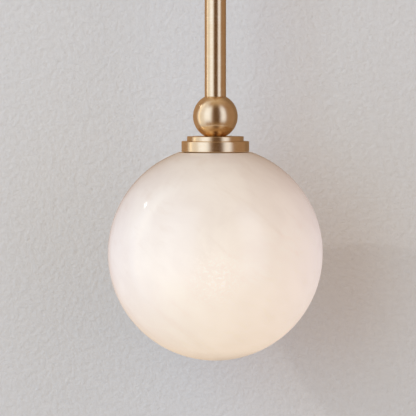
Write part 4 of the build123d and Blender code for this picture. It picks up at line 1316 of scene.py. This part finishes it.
@dataclass
class Wiring:
    """Leads in the arm and rod, with their connectors.

    Attributes:
        tail: Bend and end of each tail behind the canopy, as (x, z).
        out: Distance of the tails from the wall.
        grip: Length of lead inside its connector.
        length: Length of a connector.
        radii: Radius at a connector's mouth and tip.
        ribs: Number of grip ribs and their depth.
    """

    tail: tuple[tuple[float, float], ...] = ((15.0 * MM, -28.0 * MM), (19.0 * MM, -38.0 * MM))
    out: float = 6.7 * MM
    grip: float = 5.0 * MM
    length: float = 14.0 * MM
    radii: tuple[float, float] = (4.2 * MM, 3.0 * MM)
    ribs: tuple[int, float] = (14, 0.22 * MM)

    def build(self) -> None:
        """Adds the leads and connectors."""
        for node, body, finish in (
            ("arm_line_lead", Body.WALL, BLACK_LEAD),
            ("arm_neutral_lead", Body.WALL, WHITE_LEAD),
            ("ground_lead", Body.WALL, GREEN_LEAD),
            ("rod_line_lead", Body.PENDANT, BLACK_LEAD),
            ("rod_neutral_lead", Body.PENDANT, WHITE_LEAD),
        ):
            Copied(node, body, finish).put()
        Piece("twist_connectors", Body.WALL, ORANGE_PLASTIC, ("wire_connectors",)).put(
            self.connector(-1) + self.connector(1)
        )

    def connector(self, side: int) -> Surface:
        """Ribbed cone on one lead's end.

        The radius falls evenly from mouth to tip, less a rib wave cos(ribs * turn) that
        fades at the mouth's band and the tip.
        """
        (x0, z0), (x1, z1) = self.tail
        along = Vector((side * (x1 - x0), 0.0, z1 - z0)).normalized()
        mouth = Vector((side * x1, -self.out, z1)) - along * self.grip
        spindle = Spindle(tuple(mouth), tuple(along), (0.0, 1.0, 0.0))
        turn = np.arange(112)[None] * 2 * pi / 112
        share = np.array([0, 0, 0.02, 0.22, 0.24, 0.5, 0.94, 1.0, 1.0])[:, None]
        wide, tip = self.radii
        cone = wide + (tip - wide) * share
        cone = cone - np.array([0, 0.25, 0, 0, 0.1, 0.1, 0.1, 0.6, 0])[:, None] * MM
        count, relief = self.ribs
        ribbed = np.array([0, 0, 0, 0, 1, 1, 1, 0, 0])[:, None]
        radii = cone - ribbed * (0.5 - 0.5 * np.cos(count * turn)) * relief
        radii[0], radii[-1] = LEAD_HOLE, 0.0
        well = np.array([[0.0], [LEAD_HOLE]]) * np.ones_like(turn)
        depth = np.array([[self.grip], [self.grip]]) * np.ones_like(turn)
        radii = np.vstack([well, radii])
        levels = np.vstack([depth, share * self.length * np.ones_like(turn)])
        return Surface.grid(spindle.points(radii, levels, turn))


@dataclass
class Globe:
    """Stone globe with its threaded collar and gasket.

    Attributes:
        wall: Thickness of the stone.
        flat: Radius of the flat ground on top.
        neck: Radius of the neck's hole.
        flat_edge: Rounding between the flat and the sphere.
        bore: Radius of the collar's bore.
        thread: Thread of the collar.
        thread_radius: Radius of the thread's crests.
        skirt: Length of the collar below the flat.
        flange: Thickness of the collar's flange.
        gasket_gap: Gap between the gasket and what it lies against.
        neck_gap: Gap of the collar's skirt in the neck.
        edge: Bevel of the collar's flange and rounding of its lower edge.
        run_out: Bevel at the top of the collar and start of its thread above the flange.
        gasket_edge: Rounding of the gasket and its gap round the thread.
        crown: Angle past the flat at which the plain sphere starts, in radians.
    """

    wall: float = 9.0 * MM
    flat: float = 26.0 * MM
    neck: float = 20.0 * MM
    flat_edge: float = 2.2 * MM
    bore: float = 17.0 * MM
    thread: Thread = Thread(2.0 * MM, 0.5 * MM, 0.3)
    thread_radius: float = 18.5 * MM
    skirt: float = 9.0 * MM
    flange: float = 1.1 * MM
    gasket_gap: float = 0.03 * MM
    neck_gap: float = 0.05 * MM
    edge: tuple[float, float] = (0.2 * MM, 0.1 * MM)
    run_out: tuple[float, float] = (0.35 * MM, 0.05 * MM)
    gasket_edge: float = 0.3 * MM
    crown: float = 0.03

    def build(self) -> None:
        """Adds globe, collar and gasket."""
        box = NodeBox.of("globe_shade")
        radius = box.size.x / 2
        centre = (0.0, ROD_Y, box.low.z + radius)
        stone = Alabaster("alabaster", centre, radius)
        Piece("stone_globe", Body.GLOBE, stone, ("globe_shade",)).put(self.shell(box, radius))
        Piece("globe_collar_piece", Body.GLOBE, PLAIN_BRASS, ("globe_collar",)).put(
            self.collar(box.high.z)
        )
        Piece("gasket_ring", Body.GASKET, SILICONE, ("globe_gasket",)).put(self.gasket())

    def shell(self, box: NodeBox, radius: float) -> Surface:
        """Hollow sphere with a ground flat and a neck, as one closed half-section."""
        centre, top, edge = box.low.z + radius, box.high.z, self.flat_edge
        near = asin(self.flat / radius) + self.crown
        shoulder = (radius * sin(near), centre + radius * cos(near), 0)
        crown = rounded([(self.neck, top, 0), (self.flat, top, edge), shoulder], 8)
        inner = radius - self.wall
        skin = arc(centre, radius, near, pi, 150)
        lining = arc(centre, inner, pi, asin(self.neck / inner), 110)
        profile = np.vstack([crown[:-1], skin, lining])
        return turned(ROD_SPINDLE, profile, 256)

    def collar(self, top: float) -> Surface:
        """Threaded ring with a flange on the flat and a skirt in the neck."""
        box = NodeBox.of("globe_collar")
        crest, flange, end = self.thread_radius, box.size.x / 2, box.high.z
        skirt, (bevel, round_off), (tip, start) = self.neck - self.neck_gap, self.edge, self.run_out
        before = np.array(
            [
                (self.bore, end),
                (self.bore, top - self.skirt),
                (skirt, top - self.skirt),
                (skirt, top),
                (flange - round_off, top),
                (flange, top + bevel),
                (flange, top + self.flange - bevel),
                (flange - bevel, top + self.flange),
                (crest, top + self.flange),
            ]
        )
        after = np.array([(crest - tip, end)])
        low = top + self.flange + start
        return threaded(ROD_SPINDLE, before, crest, low, end - tip, after, self.thread, 160)

    def gasket(self) -> Surface:
        """Flat soft ring with rounded edges."""
        box = NodeBox.of("globe_gasket")
        edge = self.gasket_edge
        outer, inner = box.size.x / 2, self.thread_radius + edge
        low, high = box.low.z + self.gasket_gap, box.high.z - self.gasket_gap
        seam = ((inner + outer) / 2, low, 0)
        corners = ((outer, low), (outer, high), (inner, high), (inner, low))
        profile = rounded([seam, *((*corner, edge) for corner in corners), seam])
        return turned(ROD_SPINDLE, profile[:-1], 128)


@dataclass
class Lamp:
    """Small tubular bulb in the socket.

    Attributes:
        thread: Rolled thread of the base.
        base_wall: Wall of the base.
        glass: Finish of the bulb's glass.
        post: Finish of the glowing post.
        shoulder: Height of the base's shoulder over its thread, and of the thread's end.
        lip: Rounding of the lip and thickness of the top.
        hole: Radius of the hole in the top.
        foot: Bevel at the open end and start of the thread.
    """

    thread: Thread = Thread(2.54 * MM, 0.55 * MM, 0.15)
    base_wall: float = 0.3 * MM
    glass: Glass = Glass("frosted_glass", (0.95, 0.92, 0.86), (1.0, 0.80, 0.55), 1.2)
    post: Glass = Glass("led_post", (0.95, 0.85, 0.60), (1.0, 0.72, 0.42), 4.0)
    shoulder: tuple[float, float] = (2.4 * MM, 2.5 * MM)
    lip: tuple[float, float] = (0.8 * MM, 0.4 * MM)
    hole: float = 1.5 * MM
    foot: tuple[float, float] = (0.1 * MM, 0.3 * MM)

    def build(self) -> None:
        """Adds the bulb's pieces."""
        Copied("bulb_glass", Body.BULB, self.glass).put()
        Copied("bulb_led_post", Body.BULB, self.post).put()
        Copied("bulb_insulator", Body.BULB, BLACK_GLASS).put()
        Copied("bulb_button", Body.BULB, SOLDER).put()
        Piece("screw_base", Body.BULB, SHELL_METAL, ("bulb_base",)).put(self.base())

    def base(self) -> Surface:
        """Rolled screw base, open below, with a shoulder under the insulator."""
        box = NodeBox.of("bulb_base")
        outer, low, high = box.size.x / 2, box.low.z, box.high.z
        inside = outer - self.base_wall - self.thread.depth
        rim = NodeBox.of("bulb_insulator").size.x / 2
        (drop, end), (lip, thick), (bevel, start) = self.shoulder, self.lip, self.foot
        before = np.array([(inside, high - thick), (inside, low), (outer - bevel, low)])
        hole = [(self.hole, high, 0), (self.hole, high - thick, 0)]
        after = rounded([(outer, high - drop, 0), (rim, high, lip), *hole])
        low, high = low + start, high - end
        return threaded(ROD_SPINDLE, before, outer, low, high, after, self.thread, 96)


# ------------------------------------------------------------------ studio
@dataclass(frozen=True)
class Zone:
    """Part of the room's light, which lies over what comes before it.

    Every ramp goes from 0 at its first angle to 1 at its second, in degrees.

    Attributes:
        tone: Its light, linear.
        turn: Ramps by azimuth, 0 towards the camera and + to the right.
        rise: Ramps by elevation.
    """

    tone: Colour
    turn: tuple[tuple[float, float], ...] = ()
    rise: tuple[tuple[float, float], ...] = ()


ROOM_TONE = (0.37, 0.25, 0.165)  # light where no zone lies
WINDOW_RISE = ((-44.0, -8.0), (68.0, 32.0))
ROOM = (
    Zone((0.135, 0.074, 0.032), ((-20.0, -4.0), (34.0, 18.0))),  # dim part in front
    Zone((0.28, 0.19, 0.12), ((112.0, 130.0),)),  # behind, right
    Zone((0.43, 0.29, 0.18), ((-104.0, -112.0),)),  # behind, left
    Zone((0.90, 0.93, 1.02), ((-111.0, -101.0), (-53.0, -63.0))),  # pale part, left
    # windows in front, left and right
    Zone((1.18, 1.37, 1.76), ((-68.0, -54.0), (-11.0, -32.0)), WINDOW_RISE),
    Zone((1.06, 1.20, 1.56), ((19.0, 38.0), (66.0, 48.0)), WINDOW_RISE),
    Zone((0.64, 0.52, 0.38), rise=((38.0, 90.0),)),  # above
    Zone((0.38, 0.26, 0.14), rise=((-22.0, -56.0),)),  # below
    # upright bright strip and small bright spot, both left
    Zone((1.45, 1.42, 1.32), ((-99.0, -95.0), (-87.0, -91.0)), ((-33.0, -17.0), (60.0, 44.0))),
    Zone((14.0, 14.0, 14.0), ((-110.2, -108.8), (-105.8, -107.2)), ((30.8, 32.2), (35.2, 33.8))),
)
SEEN_ROOM = (0.74, 0.735, 0.725)  # what the camera sees past the wall


@dataclass
class Studio:
    """Wall, floor, light all round and camera.

    Attributes:
        wall_tone: Colour of the wall, linear.
        wall_peel: Height of the orange peel in its paint.
        floor_tone: Colour of the floor, linear.
        floor_drop: Height of the floor.
        reach: Half the width of wall and floor.
        wall_gap: Gap between the wall and the fitting.
        target: Point that the camera looks at.
        distance: Distance of the camera from it.
        pitch: Angle that the camera looks down, in degrees.
        field: Width of the picture at the target.
        level: Brightness of the room's light.
        lamp_distance: Distance of the lamps from the target.
        sensor: Width of the camera's sensor, in millimetres.
    """

    wall_tone: Colour = (0.706, 0.706, 0.70)
    wall_peel: float = 0.0013
    floor_tone: Colour = (0.72, 0.71, 0.69)
    floor_drop: float = -1.3
    reach: float = 4.0
    wall_gap: float = 0.0006
    target: Vector = Vector((-0.0052, -0.115, -0.2929))
    distance: float = 2.4
    pitch: float = 2.46
    field: float = 0.2952
    level: float = 1.0
    lamp_distance: float = 2.6
    sensor: float = 36.0

    def build(self) -> None:
        """Adds the stage, light and camera."""
        self.wall()
        self.floor()
        self.light()
        self.lamp("window_lamp", -24.0, 12.0, (1.0, 1.5), 10.5, (0.62, 0.94, 1.0))
        self.lamp("pane_lamp", -60.0, 25.0, (0.1, 0.1), 8.5, (1.0, 0.98, 0.96))
        self.lamp("room_lamp", 10.0, 22.0, (3.2, 2.6), 19.0, (1.0, 0.70, 0.33))
        self.camera()
        bpy.context.scene.view_settings.view_transform = "Standard"
        LOG.info("studio: field %.4f m at %.2f m", self.field, self.distance)

    def sheet(
        self, name: str, first: Vector, last: Vector, paint: bpy.types.Material
    ) -> bpy.types.Object:
        """Flat sheet, as wide as the studio.

        Args:
            name: Name of its object.
            first: Left end of its first edge.
            last: Left end of the opposite edge.
            paint: Its material.

        Returns:
            The new object.
        """
        over = Vector((2 * self.reach, 0.0, 0.0))
        mesh = bpy.data.meshes.new(name)
        mesh.from_pydata([first, first + over, last + over, last], [], [(0, 1, 2, 3)])
        mesh.materials.append(paint)
        return placed(name, mesh)

    def paint(self, name: str, tone: Colour, peel: float) -> bpy.types.Material:
        """Matt paint, seen from its front and clear to all other rays.

        Args:
            name: Name of the material.
            tone: Its colour, linear.
            peel: Height of its orange peel, in metres.

        Returns:
            The material.
        """
        material = bpy.data.materials.new(name)
        material.use_nodes = True
        graph = Graph(material.node_tree)
        place = graph.place()
        coarse = graph.noise(place, 260.0, 3.0, 0.6)
        patch = graph.noise(place, 9.0, 2.0, 0.5)
        spots = patch * 0.4 + coarse.smooth(0.35, 0.65) * 0.6
        shade = graph.mix(spots, tone, tuple(0.95 * part for part in tone))
        sockets = {"Color": shade, "Normal": graph.bump(coarse, 0.65, peel)}
        matt = graph.out("ShaderNodeBsdfDiffuse", sockets=sockets)
        clear = graph.out("ShaderNodeBsdfTransparent")
        camera = graph.out("ShaderNodeLightPath", output="Is Camera Ray")
        behind = graph.out("ShaderNodeNewGeometry", output="Backfacing")
        sockets = {0: camera * (1 - behind), 1: clear, 2: matt}
        graph.surface(graph.out("ShaderNodeMixShader", sockets=sockets))
        return material

    def wall(self) -> bpy.types.Object:
        """Painted wall behind the fitting."""
        side, back = self.reach, self.wall_gap
        foot, top = Vector((-side, back, self.floor_drop)), Vector((-side, back, side))
        paint = self.paint("painted_wall", self.wall_tone, self.wall_peel)
        return self.sheet("wall", foot, top, paint)

    def floor(self) -> bpy.types.Object:
        """Plain pale floor far below."""
        side, low = self.reach, self.floor_drop
        near, far = Vector((-side, -side, low)), Vector((-side, side, low))
        return self.sheet("floor", near, far, self.paint("floor_paint", self.floor_tone, 0.0))

    def light(self) -> None:
        """Room of windows and dim walls, drawn on the world by direction."""
        world = bpy.data.worlds.new("room_light")
        bpy.context.scene.world = world
        world.use_nodes = True
        graph = Graph(world.node_tree)
        x, y, z = graph.axes(graph.out("ShaderNodeTexCoord", output="Generated"))
        turn = graph.math("ARCTAN2", x, -y) * (180 / pi)
        rise = graph.math("ARCSINE", z) * (180 / pi)
        room = ROOM_TONE
        for zone in ROOM:
            ramps = [turn.smooth(*ramp) for ramp in zone.turn]
            ramps += [rise.smooth(*ramp) for ramp in zone.rise]
            room = graph.mix(reduce(mul, ramps), room, zone.tone)
        seen = graph.out("ShaderNodeLightPath", output="Is Camera Ray")
        room = graph.mix(seen, room, SEEN_ROOM)
        back = graph.out("ShaderNodeBackground", sockets={"Color": room, "Strength": self.level})
        graph.node("ShaderNodeOutputWorld", sockets={"Surface": back})

    def aim(self, made: bpy.types.Object, turn: float, rise: float, distance: float) -> None:
        """Moves an object away from the target and points it back there.

        Args:
            made: The object, which looks along its own -Z.
            turn: Azimuth seen from the target, 0 towards the camera and + to the right, in degrees.
            rise: Elevation, in degrees.
            distance: Distance from the target, in metres.
        """
        turn, rise = radians(turn), radians(rise)
        out = Vector((sin(turn) * cos(rise), -cos(turn) * cos(rise), sin(rise)))
        facing = (-out).to_track_quat("-Z", "Y").to_matrix().to_4x4()
        made.matrix_world = Matrix.Translation(self.target + out * distance) @ facing

    def lamp(
        self, name: str, turn: float, rise: float, size: tuple[float, float], power: float,
        tone: Colour,
    ) -> None:
        """Adds a soft lamp that only lights matt surfaces.

        Args:
            name: Name of the lamp.
            turn: Its azimuth, in degrees.
            rise: Its elevation, in degrees.
            size: Width and height of its face, in metres.
            power: Its power, in watts.
            tone: Its colour, linear.
        """
        data = bpy.data.lights.new(name, "AREA")
        data.shape = "RECTANGLE"
        data.size, data.size_y = size
        data.energy = power
        data.color = tone
        made = placed(name, data)
        self.aim(made, turn, rise, self.lamp_distance)
        made.visible_camera = False
        made.visible_glossy = False

    def camera(self) -> None:
        """Long lens, a little above the ball and looking slightly down."""
        data = bpy.data.cameras.new("camera")
        data.sensor_width = self.sensor
        data.lens = data.sensor_width * self.distance / self.field
        data.clip_end = 50.0
        made = placed("camera", data)
        self.aim(made, 0.0, self.pitch, self.distance)
        bpy.context.scene.camera = made


def main() -> None:
    """Builds every sub-assembly in order."""
    logging.basicConfig(level=logging.INFO, format="%(name)s %(message)s")
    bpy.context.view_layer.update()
    for part in (
        Canopy, Fasteners, Arm, Elbow, Pendant, Fitter, Socket, Wiring, Globe, Lamp, Studio
    ):
        LOG.info("building %s", part.__name__)
        part().build()


if __name__ == "__main__":
    main()
